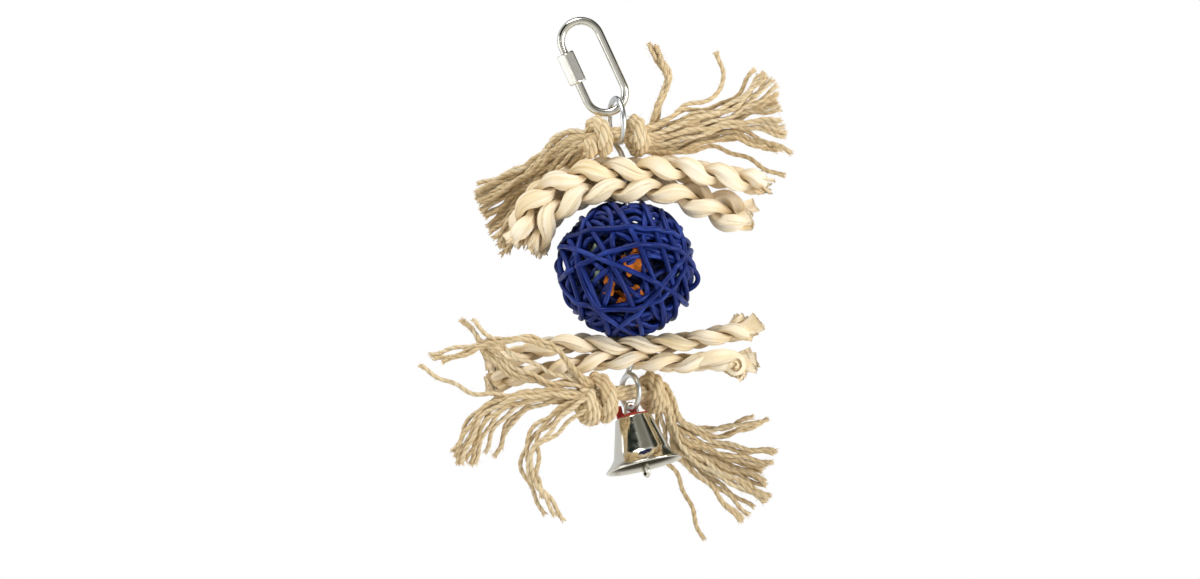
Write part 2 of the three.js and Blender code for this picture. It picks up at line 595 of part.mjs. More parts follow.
// The red washer is a strip of fibre on the crown, pierced by the staple and bent up behind it, with a notch
// that the ring swings in
function washer() {
  const half = tabDepth / 2;
  const foot = crownTop + 0.15;
  const inside = half - tabThickness;
  const outline = [
    [-half * 0.8, foot], [half, foot], [half, foot + tabHeight], [inside, foot + tabHeight],
    [inside, foot + tabThickness], [-half * 0.8, foot + tabThickness],
  ];
  const shape = new THREE.Shape(outline.map(([y, z]) => new THREE.Vector2(y, z)));
  const strip = new THREE.ExtrudeGeometry(shape, { depth: tabWidth, bevelEnabled: false });
  strip.translate(0, 0, -tabWidth / 2).applyMatrix4(new THREE.Matrix4().makeBasis(at(0, 1, 0), upward, right));
  const legs = [-1, 1].map((s) => rod(legBore, foot - 2, foot + tabHeight + 2, 8, (s * stapleSpan) / 2, 0));
  const notch = new THREE.BoxGeometry(tabNotch, tabDepth, tabHeight);
  notch.translate(0, half, foot + tabBand + tabHeight / 2);
  return drilled(strip, [...legs, notch]);
}
piece('bell_washer', washer(), redFibre, bellInner);

// The origin is the inside of the link's upper bow, where it hangs
const hangPoint = link.position.clone().add(at(0, 0, linkLength / 2 - linkRod).applyEuler(link.rotation));
toy.position.copy(hangPoint).negate();

export default toy;
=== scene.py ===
import math

import bpy
import numpy as np
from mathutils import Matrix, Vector


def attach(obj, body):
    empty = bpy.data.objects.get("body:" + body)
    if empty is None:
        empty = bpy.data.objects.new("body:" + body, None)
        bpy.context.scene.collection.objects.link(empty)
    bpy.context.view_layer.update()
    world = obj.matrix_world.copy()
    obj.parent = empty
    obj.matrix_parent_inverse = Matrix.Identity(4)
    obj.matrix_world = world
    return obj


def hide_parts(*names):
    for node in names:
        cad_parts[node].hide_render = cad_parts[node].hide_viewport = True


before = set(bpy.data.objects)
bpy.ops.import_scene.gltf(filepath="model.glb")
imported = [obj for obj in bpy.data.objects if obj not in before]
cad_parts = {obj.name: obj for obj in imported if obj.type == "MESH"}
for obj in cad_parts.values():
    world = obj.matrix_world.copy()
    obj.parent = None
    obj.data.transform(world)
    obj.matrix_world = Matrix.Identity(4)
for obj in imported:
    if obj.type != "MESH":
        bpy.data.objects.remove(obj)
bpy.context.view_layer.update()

# Studio: the toy is seen square on through a long lens, so that 1200 pixels cover 444 mm. The camera is
# rolled by 1.8 degrees, because the toy lies at that angle. A pale round floor is under it, and the light is
# soft and white.
distance, view_width, sensor_width = 4.0, 0.444, 36
camera_data = bpy.data.cameras.new("front_camera")
camera_data.sensor_width = sensor_width
camera_data.lens = sensor_width * distance / view_width
camera = bpy.data.objects.new("front_camera", camera_data)
camera.location = (0.00644, -distance, -0.0976)
camera.rotation_euler = (math.radians(90), math.radians(1.8), 0)
bpy.context.scene.collection.objects.link(camera)
bpy.context.scene.camera = camera
bpy.context.scene.view_settings.view_transform = "Standard"


def linear(code):
    """An sRGB hex colour in linear light: c / 12.92 when dark, otherwise ((c + 0.055) / 1.055) ^ 2.4."""
    c = np.array([int(code[k:k + 2], 16) for k in (1, 3, 5)]) / 255
    c = np.where(c <= 0.04045, c / 12.92, ((c + 0.055) / 1.055) ** 2.4)
    return (float(c[0]), float(c[1]), float(c[2]), 1.0)


def feed(node, links):
    """Feeds a node's inputs, by name or number, from other nodes' outputs."""
    for key, source in links.items():
        node.id_data.links.new(source, node.inputs[key])


def add_node(tree, kind, settings, links, output=0):
    """Adds a shader node, sets its options, inputs and colour stops, feeds the inputs named in links, and
    returns one of its outputs."""
    made = tree.nodes.new("ShaderNode" + kind)
    for key, value in settings.items():
        if key == "stops":
            for position, _ in value[1:-1]:
                made.color_ramp.elements.new(position)
            for element, (position, colour) in zip(made.color_ramp.elements, value):
                element.position = position
                element.color = linear(colour)
        elif isinstance(key, str) and hasattr(made, key):
            setattr(made, key, value)
        else:
            made.inputs[key].default_value = value
    feed(made, links)
    return made.outputs[output]


toy_middle = Vector((0.016, 0.0, -0.09))


def soft_light(name, place, size, power, mirrored=True):
    """Hangs a square soft box at a place, turned to the toy. One that isn't mirrored stays out of metal."""
    lamp = bpy.data.lights.new(name, "AREA")
    lamp.size = size
    lamp.energy = power
    box = bpy.data.objects.new(name, lamp)
    box.location = place
    box.visible_glossy = mirrored
    box.rotation_euler = (toy_middle - Vector(place)).to_track_quat("-Z", "Y").to_euler()
    bpy.context.scene.collection.objects.link(box)


soft_light("left_soft_box", (-0.42, -0.55, 1.25), 0.75, 14)
soft_light("right_soft_box", (1.1, -0.75, -0.2), 0.8, 16)
soft_light("side_soft_box", (-1.2, -0.3, -0.1), 0.8, 4)
soft_light("rear_soft_box", (0.2, 0.9, 0.6), 0.8, 4, mirrored=False)

# The room is white to the eye. For the metal it has white walls, a dim olive doorway left of the camera, a
# warm floor, a grey ceiling over the camera, and dark corners at the right and above at the back. Each is its
# direction, the cosines at which it begins and is full, and its colour.
world = bpy.data.worlds.new("white_studio")
bpy.context.scene.world = world
world.use_nodes = True
tree = world.node_tree
direction = add_node(tree, "TexCoord", {}, {}, "Generated")
white_walls = (0.94, 0.95, 0.96, 1)
under = {}
for look, (begin, full), colour in [
        ((-0.6, -0.66, 0.45), (0.84, 0.89), "#1C2A22"), ((0.12, -0.8, -0.58), (0.8, 0.97), "#8E7F63"),
        ((0.3, -0.75, 0.6), (0.8, 0.97), "#96958A"), ((0.83, 0.11, 0.55), (0.76, 0.9), "#3E3F33"),
        ((0, 0.55, 0.83), (0.78, 0.92), "#3E3F33")]:
    facing = add_node(tree, "VectorMath", {"operation": "DOT_PRODUCT", 1: look}, {0: direction}, "Value")
    limits = {"interpolation_type": "SMOOTHSTEP", "From Min": begin, "From Max": full}
    share = add_node(tree, "MapRange", limits, {"Value": facing})
    colours = {"data_type": "RGBA", 6: white_walls, 7: linear(colour)}
    room = add_node(tree, "Mix", colours, {0: share, **under}, 2)
    under = {6: room}
seen = add_node(tree, "LightPath", {}, {}, "Is Camera Ray")
lit = add_node(tree, "Background", {"Strength": 0.74}, {"Color": room})
plain = add_node(tree, "Background", {"Color": (1, 1, 1, 1), "Strength": 1.0}, {})
both = add_node(tree, "MixShader", {}, {0: seen, 1: lit, 2: plain})
feed(tree.nodes["World Output"], {"Surface": both})

# Hanger wire: one length of galvanised steel wire, 2.1 mm thick, cut and bent by hand into a ring at each
# end. The plaits and the ball are threaded on its straight part, and each ring is nearly closed on its neck.
# All places are in mm about the ball's centre, which hangs at ball_place below the link.
wire_radius = 1.05
top_ring_centre = np.array([-2.0, 0.0, 54.64])
bottom_ring_centre = np.array([0.0, 0.0, -45.48])
top_ring_radius, bottom_ring_radius = 8.5, 6.4
top_ring_turn, bottom_ring_turn = math.radians(18), math.radians(30)
top_neck, bottom_neck = 40.64, -36.68
link_radius, link_half, rod_radius, link_lean, ring_play = 7.4, 10.6, 1.5, math.radians(23), 0.3
bow_reach = link_radius - rod_radius - wire_radius / math.cos(top_ring_turn) - ring_play
bow_place = top_ring_centre + np.array([0, 0, top_ring_radius])
bow_place = bow_place + bow_reach * np.array([-math.sin(math.pi / 3), 0, math.cos(math.pi / 3)])
link_up = np.array([-math.sin(link_lean), 0, math.cos(link_lean)])
ball_place = -(bow_place + (2 * link_half + link_radius - rod_radius) * link_up)


def mesh_of(name, sheets):
    """Joins grids of points, in mm about the ball's centre, into one mesh in metres. A grid closes round its
    columns, and round its rows too where wrap_rows is set; otherwise a fan to its middle closes each end.
    One that encloses less than nothing is turned over. The map holds mm along and mm round, and each point
    keeps its tone and groove."""
    places, corners, sizes, maps, tones, grooves = [], [], [], [], [], []
    base = 0
    for sheet in sheets:
        grid = sheet["grid"]
        rows, columns = grid.shape[:2]
        index = np.arange(rows * columns).reshape(rows, columns)
        index = np.hstack([index, index[:, :1]])
        along = np.broadcast_to(np.asarray(sheet["along"], float).reshape(rows, 1), index.shape)
        around = np.broadcast_to(np.asarray(sheet["around"], float).reshape(-1, columns + 1), index.shape)
        uv = np.stack([along, around], -1)
        if sheet.get("wrap_rows"):
            index = np.vstack([index, index[:1]])
            uv = np.vstack([uv, uv[-1:]])
        cells = [(slice(None, -1), slice(None, -1)), (slice(None, -1), slice(1, None)),
                 (slice(1, None), slice(1, None)), (slice(1, None), slice(None, -1))]
        quads = np.stack([index[c] for c in cells], -1).reshape(-1, 4)
        quad_uv = np.stack([uv[c] for c in cells], -2).reshape(-1, 4, 2)
        points = grid.reshape(-1, 3)
        fans, fan_uv = np.zeros((0, 3), int), np.zeros((0, 3, 2))
        tone = np.broadcast_to(np.asarray(sheet.get("tone", 0.5), float), (rows, columns)).reshape(-1)
        groove = np.broadcast_to(np.asarray(sheet.get("groove", 0.0), float), (rows, columns)).reshape(-1)
        if not sheet.get("wrap_rows"):
            count = rows * columns
            points = np.vstack([points, grid[0].mean(0), grid[-1].mean(0)])
            tone = np.append(tone, [tone[0], tone[-1]])
            groove = np.append(groove, [groove[:columns].mean(), groove[-columns:].mean()])
            first = np.stack([np.full(columns, count), index[0, 1:], index[0, :-1]], 1)
            last = np.stack([np.full(columns, count + 1), index[-1, :-1], index[-1, 1:]], 1)
            fans = np.vstack([first, last])
            fan_uv = np.vstack([np.stack([uv[0, 1:], uv[0, 1:], uv[0, :-1]], 1),
                                np.stack([uv[-1, 1:], uv[-1, :-1], uv[-1, 1:]], 1)])
        p = points - points.mean(0)
        halves = np.vstack([quads[:, :3], quads[:, [0, 2, 3]], fans])
        volume = np.einsum("ij,ij->i", p[halves[:, 0]], np.cross(p[halves[:, 1]], p[halves[:, 2]])).sum()
        if volume < 0:
            quads, quad_uv, fans, fan_uv = quads[:, ::-1], quad_uv[:, ::-1], fans[:, ::-1], fan_uv[:, ::-1]
        places.append(points)
        tones.append(tone)
        grooves.append(groove)
        corners += [quads.reshape(-1) + base, fans.reshape(-1) + base]
        maps += [quad_uv.reshape(-1, 2), fan_uv.reshape(-1, 2)]
        sizes += [np.full(len(quads), 4), np.full(len(fans), 3)]
        base += len(points)
    places = (np.vstack(places) + ball_place) / 1000
    corners, sizes = np.concatenate(corners).astype(np.int32), np.concatenate(sizes).astype(np.int32)
    mesh = bpy.data.meshes.new(name)
    mesh.vertices.add(len(places))
    mesh.vertices.foreach_set("co", places.astype(np.float32).reshape(-1))
    mesh.loops.add(len(corners))
    mesh.loops.foreach_set("vertex_index", corners)
    mesh.polygons.add(len(sizes))
    mesh.polygons.foreach_set("loop_start", np.concatenate([[0], np.cumsum(sizes)[:-1]]).astype(np.int32))
    mesh.update(calc_edges=True)
    mesh.polygons.foreach_set("use_smooth", np.ones(len(sizes), bool))
    flat_map = np.concatenate(maps).astype(np.float32).reshape(-1)
    mesh.uv_layers.new(name="length_round").data.foreach_set("uv", flat_map)
    for label, values in [("tone", tones), ("groove", grooves)]:
        values = np.concatenate(values).astype(np.float32)
        mesh.attributes.new(label, "FLOAT", "POINT").data.foreach_set("value", values)
    return mesh


def piece(name, sheets, finish, body, nodes=()):
    """Makes an object of grids with its finish, on the body it moves with, for the nodes it stands for."""
    made = bpy.data.objects.new(name, mesh_of(name, sheets))
    made.data.materials.append(finish)
    bpy.context.scene.collection.objects.link(made)
    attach(made, body)
    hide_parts(*nodes)
    return made


def smooth_line(points, per_span=24):
    """Centripetal Catmull-Rom curve: cubics through the points, whose slopes weigh the gaps' roots."""
    p = np.asarray(points, float)
    p = np.vstack([2 * p[0] - p[1], p, 2 * p[-1] - p[-2]])
    a, b, c, d = p[:-3], p[1:-2], p[2:-1], p[3:]
    ab, bc, cd = (np.sqrt(np.linalg.norm(v - u, axis=1, keepdims=True)) for u, v in ((a, b), (b, c), (c, d)))
    slope_b = bc * ((b - a) / ab - (c - a) / (ab + bc) + (c - b) / bc)
    slope_c = bc * ((c - b) / bc - (d - b) / (bc + cd) + (d - c) / cd)
    t = np.linspace(0, 1, per_span, endpoint=False)[None, :, None]
    b, c, slope_b, slope_c = (x[:, None, :] for x in (b, c, slope_b, slope_c))
    spans = ((2 * t**3 - 3 * t**2 + 1) * b + (t**3 - 2 * t**2 + t) * slope_b
             + (3 * t**2 - 2 * t**3) * c + (t**3 - t**2) * slope_c)
    return np.vstack([spans.reshape(-1, 3), p[-2]])


def lengths(line):
    """Distance along a line at each of its points."""
    return np.append(0, np.cumsum(np.linalg.norm(np.diff(line, axis=0), axis=1)))


def spaced(line, step):
    """Points of a line at equal distances of about one step."""
    far = lengths(line)
    s = np.linspace(0, far[-1], max(3, int(round(far[-1] / step)) + 1))
    return np.stack([np.interp(s, far, line[:, k]) for k in range(3)], 1)


def unit(vectors):
    """Vectors made one long."""
    return vectors / np.maximum(np.linalg.norm(vectors, axis=-1, keepdims=True), 1e-12)


def frames(line, upward):
    """Tangent, side and up along a line: up is a direction made square to it, and side = up x tangent."""
    tangent = unit(np.gradient(line, axis=0))
    upward = np.broadcast_to(np.asarray(upward, float), line.shape)
    up = unit(upward - (upward * tangent).sum(1, keepdims=True) * tangent)
    return tangent, np.cross(up, tangent), up


def ring_of(count):
    """Angles of a section's points."""
    return 2 * np.pi * np.arange(count) / count


def tube(line, upward, section, ends=0.0, **more):
    """Carries a section of (a, b) offsets along a line: point = line + a side + b up. Ends are rounded off
    over a length, as a quarter of an ellipse."""
    tangent, side, up = frames(line, upward)
    section = np.broadcast_to(np.asarray(section, float), (len(line),) + np.shape(section)[-2:])
    if ends:
        turn = np.radians([88, 62, 32])
        line = np.vstack([line[0] - ends * np.sin(turn)[:, None] * tangent[0], line,
                          line[-1] + ends * np.sin(turn[::-1])[:, None] * tangent[-1]])
        section = np.vstack([section[0] * np.cos(turn)[:, None, None], section,
                             section[-1] * np.cos(turn[::-1])[:, None, None]])
        side = np.vstack([side[:1]] * 3 + [side] + [side[-1:]] * 3)
        up = np.vstack([up[:1]] * 3 + [up] + [up[-1:]] * 3)
        for key in ("tone", "groove"):
            if np.ndim(more.get(key)) == 2:
                more[key] = np.vstack([more[key][:1]] * 3 + [more[key]] + [more[key][-1:]] * 3)
    grid = line[:, None] + section[..., :1] * side[:, None] + section[..., 1:] * up[:, None]
    columns = grid.shape[1]
    girth = 2 * np.pi * np.linalg.norm(section, axis=-1).mean()
    return {"grid": grid, "along": lengths(line), "around": np.linspace(0, girth, columns + 1), **more}


def round_section(radius, count):
    """Offsets of a circle."""
    angle = ring_of(count)
    return radius * np.stack([np.cos(angle), np.sin(angle)], -1)


def arc(centre, across, up, radius, start, end, count):
    """Points on a circle's arc in the plane of two directions, between two angles in degrees."""
    angle = np.radians(np.linspace(start, end, count))[:, None]
    return np.asarray(centre) + radius * (np.cos(angle) * np.asarray(across) + np.sin(angle) * np.asarray(up))


def finish_of(name, **sockets):
    """A new material whose shader has these constant values on its own sockets, and its tree and shader."""
    made = bpy.data.materials.new(name)
    made.use_nodes = True
    shader = made.node_tree.nodes["Principled BSDF"]
    for key, value in sockets.items():
        shader.inputs[key.replace("_", " ")].default_value = value
    return made, made.node_tree, shader


# Galvanised steel: hot zinc drawn with the wire leaves grey lengthwise lines, about 0.4 mm apart, and a dull,
# cloudy shine
galvanised, tree, shader = finish_of("galvanised_steel_wire", Metallic=1.0)
along_round = add_node(tree, "UVMap", {"uv_map": "length_round"}, {})
drawn = add_node(tree, "Mapping", {"Scale": (0.25, 2.5, 1)}, {"Vector": along_round})
lines = add_node(tree, "TexNoise", {"Scale": 1.0, "Detail": 3.0}, {"Vector": drawn})
greys = {"data_type": "RGBA", 6: linear("#BFC3C6"), 7: linear("#ECEEEE")}
cloud = add_node(tree, "Mix", greys, {0: lines}, 2)
dull = add_node(tree, "MapRange", {"To Min": 0.24, "To Max": 0.42}, {"Value": lines})
raised = add_node(tree, "Bump", {"Strength": 0.15, "Distance": 0.0001}, {"Height": lines})
feed(shader, {"Base Color": cloud, "Roughness": dull, "Normal": raised})

near_top = np.array([math.sin(top_ring_turn), -math.cos(top_ring_turn), 0])
near_bottom = np.array([math.sin(bottom_ring_turn), -math.cos(bottom_ring_turn), 0])
wire_line = smooth_line(np.vstack([
    arc(top_ring_centre, near_top, (0, 0, 1), top_ring_radius, -66, 232, 17),
    [[0, 0, top_neck], [0, 0, 0], [0, 0, bottom_neck]],
    arc(bottom_ring_centre, near_bottom, (0, 0, 1), bottom_ring_radius, 128, -240, 15)]))
wire_line = spaced(wire_line, 0.5)
flat_side = np.where(wire_line[:, 2:] > 0, np.cross(near_top, (0, 0, 1)), np.cross(near_bottom, (0, 0, 1)))
piece("wire", [tube(wire_line, flat_side, round_section(wire_radius, 16), ends=0.3)], galvanised,
      "hanger", ["hanger_wire"])

# Quick link: a 3 mm steel rod bent to an oval and nickel-plated, open on its left side. The rod's upper end
# is threaded there, and a hexagonal sleeve screws over the opening.
nickel, tree, shader = finish_of("bright_nickel_plate", Metallic=1.0)
# Plating follows the polish of the steel under it: a clear mirror with faint cloudy patches about 3 mm across
spot = add_node(tree, "TexCoord", {}, {}, "Object")
patches = add_node(tree, "TexNoise", {"Scale": 330.0, "Detail": 4.0}, {"Vector": spot})
limits = {"From Min": 0.3, "From Max": 0.75, "To Min": 0.06, "To Max": 0.2}
polish = add_node(tree, "MapRange", limits, {"Value": patches})
# Inside the bell the steel is made dull, and its colour is darkened as painted shade: groove says where
inside_dull_and_painted_shade = add_node(tree, "Attribute", {"attribute_name": "groove"}, {}, "Fac")
dulled = add_node(tree, "Math", {"operation": "MULTIPLY_ADD", 1: 0.35}, {0: inside_dull_and_painted_shade, 2: polish})
bright_to_dark = {"data_type": "RGBA", 6: linear("#DEDBD0"), 7: linear("#4A463C")}
# plated: the plate's colour, darkened with painted shade inside the bell
plated = add_node(tree, "Mix", bright_to_dark, {0: inside_dull_and_painted_shade}, 2)
ripple = add_node(tree, "Bump", {"Strength": 0.05, "Distance": 0.0003}, {"Height": patches})
feed(shader, {"Base Color": plated, "Roughness": dulled, "Normal": ripple})

mouth_top, mouth_gap, thread_length, thread_pitch = 7.6, 5.0, 6.0, 0.75
link_right = np.array([math.cos(link_lean), 0, math.sin(link_lean)])
link_middle = bow_place + link_half * link_up


def on_link(local):
    """Turns places of the upright link, about its middle, by its lean."""
    local = np.asarray(local, float)
    return link_middle + local[..., :1] * link_right + local[..., 1:2] * [0, 1, 0] + local[..., 2:] * link_up


link_line = spaced(np.vstack([
    np.linspace([-link_radius, 0, mouth_top], [-link_radius, 0, link_half], 6)[:-1],
    arc((0, 0, link_half), (1, 0, 0), (0, 0, 1), link_radius, 180, 0, 60),
    arc((0, 0, -link_half), (1, 0, 0), (0, 0, 1), link_radius, 0, -180, 60),
    np.linspace([-link_radius, 0, -link_half], [-link_radius, 0, mouth_top - mouth_gap], 12)[1:]]), 0.25)
past_end = lengths(link_line)
thread = np.where(past_end < thread_length, 0.93 + 0.07 * np.cos(2 * np.pi * past_end / thread_pitch), 1.0)
rod = tube(on_link(link_line), (0, 1, 0), thread[:, None, None] * round_section(rod_radius, 20), ends=0.2)
piece("quick_link_rod", [rod], nickel, "link", ["quick_link_body"])

sleeve_low, sleeve_high, flats, bore, sides = -3.2, 8.8, 6.4, 1.75, 96
corner = flats / math.sqrt(3)
chamfer = corner - flats / 2 + 0.2
turn = ring_of(sides)
hexagon = flats / 2 / np.cos(np.mod(turn + np.pi / 2, np.pi / 3) - np.pi / 6)
hexagon = np.minimum(hexagon, corner - 0.1)
edge = np.concatenate([np.linspace(0, chamfer, 8), [chamfer + 0.15]])
heights = np.concatenate([sleeve_low + edge, sleeve_high - edge[::-1]])
cone = corner - chamfer + np.minimum(heights - sleeve_low, sleeve_high - heights)
hole = np.full((1, sides), bore)
shell = np.vstack([hole, hole, hole + 0.1, np.minimum(hexagon, cone[:, None]), hole + 0.1])
heights = np.concatenate([[sleeve_high, sleeve_low, sleeve_low], heights, [sleeve_high]])
sleeve = np.stack([shell * np.cos(turn) - link_radius, shell * np.sin(turn),
                   np.broadcast_to(heights[:, None], shell.shape)], -1)
around = np.linspace(0, 20, sides + 1)
sleeve = {"grid": on_link(sleeve), "along": heights, "around": around, "wrap_rows": True}
piece("quick_link_nut", [sleeve], nickel, "sleeve", ["quick_link_sleeve"])

# Jute ropes: three strands of yarn laid together, 6.2 mm thick. One is threaded through each ring of the wire
# and tied off on both sides of it with a turn of its own, and its ends are unlaid into loose yarns.
seed_span = 60.0


def fibre_pattern(tree, fine, slow, weight):
    """Lines of a grown fibre along its piece, and the same lines with slow bands: lines + weight bands. Both
    are noises with so many cells in each mm along and round, a detail and a roughness, and a piece's tone is
    the seed of its own pattern. Returns the tone, the lines and the sum."""
    along_round = add_node(tree, "UVMap", {"uv_map": "length_round"}, {})
    tone = add_node(tree, "Attribute", {"attribute_name": "tone"}, {}, "Fac")
    seed = add_node(tree, "Math", {"operation": "MULTIPLY", 1: seed_span}, {0: tone})
    found = []
    for along, around, detail, roughness in (fine, slow):
        place = add_node(tree, "Mapping", {"Scale": (along, around, 1)}, {"Vector": along_round})
        settings = {"noise_dimensions": "4D", "Scale": 1.0, "Detail": detail, "Roughness": roughness}
        found.append(add_node(tree, "TexNoise", settings, {"Vector": place, "W": seed}))
    lines, bands = found
    blend = add_node(tree, "Math", {"operation": "MULTIPLY_ADD", 1: weight}, {0: bands, 2: lines})
    return tone, lines, blend


jute, tree, shader = finish_of("jute_fibre", Roughness=0.92, Specular_IOR_Level=0.2, Sheen_Weight=0.25,
                               Sheen_Tint=linear("#E8D4A8"))
# Spun fibres, about 0.35 mm wide and 6 mm long where they show, with lighter and darker lengths of yarn
tone, hairs, blend = fibre_pattern(tree, (0.16, 2.9, 4.0, 0.65), (0.09, 0.1, 1.0, 0.5), 0.3)
shift = add_node(tree, "Math", {"operation": "MULTIPLY_ADD", 1: 0.22}, {0: tone, 2: blend})
straws = [(0.4, "#957B50"), (0.56, "#CAAE81"), (0.76, "#E6CEA4"), (1.0, "#F8EBCD")]
straw = add_node(tree, "ValToRGB", {"stops": straws}, {"Fac": shift})
# Painted shade: the valleys between plies, which groove marks, are darkened towards dark brown
groove = add_node(tree, "Attribute", {"attribute_name": "groove"}, {}, "Fac")
painted_furrow_shade = add_node(tree, "Math", {"operation": "MULTIPLY", 1: 0.42}, {0: groove})
laid = add_node(tree, "Mix", {"data_type": "RGBA", 7: linear("#6B5430")}, {0: painted_furrow_shade, 6: straw}, 2)
raised = add_node(tree, "Bump", {"Strength": 0.7, "Distance": 0.0004}, {"Height": hairs})
feed(shader, {"Base Color": laid, "Normal": raised})


def loose_fibres(line, radius, count, reach, chance):
    """Stray fibres of a cord, as three-sided hairs that narrow to their tips: each leaves the surface and
    bends away, p(t) = root + out (0.8 R + length t^1.4) + drift t."""
    t = np.linspace(0, 1, 5)[:, None]
    tangent = unit(np.gradient(line, axis=0))
    hair = np.linspace(0.07, 0.025, 5)[:, None, None] * round_section(1, 3)
    found = []
    for at in chance.integers(1, len(line) - 1, count):
        out = np.cross(tangent[at], unit(chance.normal(size=3)))
        drift = 0.8 * unit(tangent[at] * chance.uniform(-1, 1) + 0.4 * chance.normal(size=3))
        height = 0.8 * radius + reach * chance.uniform(0.3, 1) * t**1.4
        path = line[at] + unit(out) * height + drift * reach * t
        found.append(tube(path, np.cross(tangent[at], out) + 0.01, hair, tone=chance.uniform(0.5, 1)))
    return found


def frayed_end(line, radius, count, chance):
    """A yarn's cut end, opened into a brush of fibre bundles that narrow to their tips: p(t) = root + heading
    length t + out spread t^2, with roots 1.8 mm inside the end."""
    t = np.linspace(0, 1, 6)[:, None]
    heading = unit(line[-1] - line[-4])
    bundle = np.linspace(0.24, 0.09, 6)[:, None, None] * round_section(1, 5)
    found = []
    for _ in range(count):
        out = unit(np.cross(heading, chance.normal(size=3)))
        root = line[-1] - 1.8 * heading + out * radius * chance.uniform(0.2, 0.7)
        path = root + heading * chance.uniform(1.9, 3.0) * t + out * chance.uniform(0.1, 0.9) * t**2
        found.append(tube(path, np.cross(heading, out), bundle, ends=0.2, tone=chance.uniform(0.2, 0.9)))
    return found


def twisted_strand(line, upward, radius, plies, pitch, sides, ends, tone):
    """A strand of plies: its section is a circle with a lobe for each ply that turns once in each pitch
    along the line, r = R (1 - d + d |cos(n angle / 2)|)."""
    angle = ring_of(sides)
    depth = 0.24
    reach = radius * (1 - depth + depth * np.abs(np.cos(plies * angle / 2)))
    spun = angle + 2 * np.pi * lengths(line)[:, None] / pitch
    section = np.stack([reach * np.cos(spun), reach * np.sin(spun)], -1)
    # groove marks the valleys between plies, where the jute finish paints shade
    groove = np.broadcast_to((1 - (reach - reach.min()) / (reach.max() - reach.min())) ** 2, spun.shape)
    return tube(line, upward, section, ends=ends, tone=tone, groove=groove)


def laid_rope(line, upward, chance):
    """Three strands round a line, with long and short stray fibres: centre k = line + offset (cos a side +
    sin a up), a = 2 pi (s / lay + k / 3)."""
    line = spaced(line, 0.45)
    s = lengths(line)
    _, side, up = frames(line, upward)
    found = []
    for k in range(3):
        a = 2 * np.pi * (s[:, None] / rope_lay + k / 3)
        strand = line + strand_offset * (np.cos(a) * side + np.sin(a) * up)
        shade = chance.uniform(0.3, 0.7)
        found.append(twisted_strand(strand, upward, strand_radius, strand_plies, strand_pitch, 36, 0.8,
                                    shade))
    found += loose_fibres(line, rope_radius, int(2.2 * s[-1]), 2.2, chance)
    return found + loose_fibres(line, rope_radius, int(3.5 * s[-1]), 1.3, fuzz_chance)


rope_radius, rope_lay, knot_radius, knot_turns = 3.1, 19.0, 5.3, 1.2
strand_offset, strand_radius, strand_plies, strand_pitch = 0.44 * rope_radius, 0.57 * rope_radius, 4, -12.0
chance, fuzz_chance = np.random.default_rng(11), np.random.default_rng(31)


def turn_about(axis, angle):
    """Matrix that turns columns by an angle about axis 0, 1 or 2."""
    a, b = (axis + 1) % 3, (axis + 2) % 3
    made = np.eye(3)
    made[a, a] = made[b, b] = math.cos(angle)
    made[b, a] = math.sin(angle)
    made[a, b] = -math.sin(angle)
    return made


def knot_turn(middle, height, size, pitch, hand):
    """One turn of rope round the rope inside it: a helix whose ends dive inwards."""
    share = np.linspace(0, 1, 90)
    angle = math.radians(-140) + hand * 2 * np.pi * knot_turns * share
    reach = size * np.minimum(1, 6 * np.minimum(share, 1 - share) + 0.35)
    forward = middle + pitch * (share - 0.5) * knot_turns
    return np.stack([forward, reach * np.cos(angle), height + reach * np.sin(angle)], 1)


def knotted_rope(name, node, centre, turn, route, knots):
    """Makes a rope and its knots, turned with their ring, and returns the place and heading of both ends."""
    spin = turn_about(2, turn).T
    route = np.asarray(route, float) @ spin + centre
    sheets = laid_rope(smooth_line(route), (0, 0, 1), chance)
    for knot in knots:
        sheets += laid_rope(knot_turn(*knot) @ spin + centre, spin[0], chance)
    piece(name, sheets, jute, "hanger", [node])
    return [(route[0], unit(route[0] - route[1])), (route[-1], unit(route[-1] - route[-2]))]


# A rope's route is x, y, z about its ring's centre. A knot is its x, z, radius, pitch and hand.
top_height = top_neck + knot_radius + rope_radius - top_ring_centre[2]
bottom_height = bottom_neck - knot_radius - rope_radius - 1.6 - bottom_ring_centre[2]
top_left, top_right = knotted_rope(
    "top_jute_rope", "top_rope", top_ring_centre, top_ring_turn,
    [(-15, 6, top_height - 2.4), (-11.5, 2.5, top_height - 1.4), (-8, 0.3, top_height - 0.4),
     (0, 0, top_height + 0.6), (7, 0, top_height), (13.5, 0.6, top_height - 1)],
    [(-7.8, top_height, knot_radius, 4.8, 1), (7.6, top_height, knot_radius, 1.6, -1)])
bottom_left, bottom_right = knotted_rope(
    "bottom_jute_rope", "bottom_rope", bottom_ring_centre, bottom_ring_turn,
    [(-22, -1.2, bottom_height + 1.4), (-17, -0.4, bottom_height + 0.6), (-13, 0, bottom_height),
     (0, 0, bottom_height + 1), (8, 0, bottom_height), (14, 0.6, bottom_height - 1.2)],
    [(-14.4, bottom_height - 1, knot_radius + 2, 5, 1), (-18.6, bottom_height - 3.4, 4.4, 1.5, -1),
     (9.2, bottom_height + 0.6, knot_radius, 1.6, -1)])

# Loose yarns: each rope end is unlaid, so its two-ply yarns, 1.9 mm thick, keep a slight wave and spread as
# they like. Their cut ends are frayed.
yarn_radius, yarn_pitch, foot_spread, wave_height = 0.95, 6.4, 5.6, 0.55
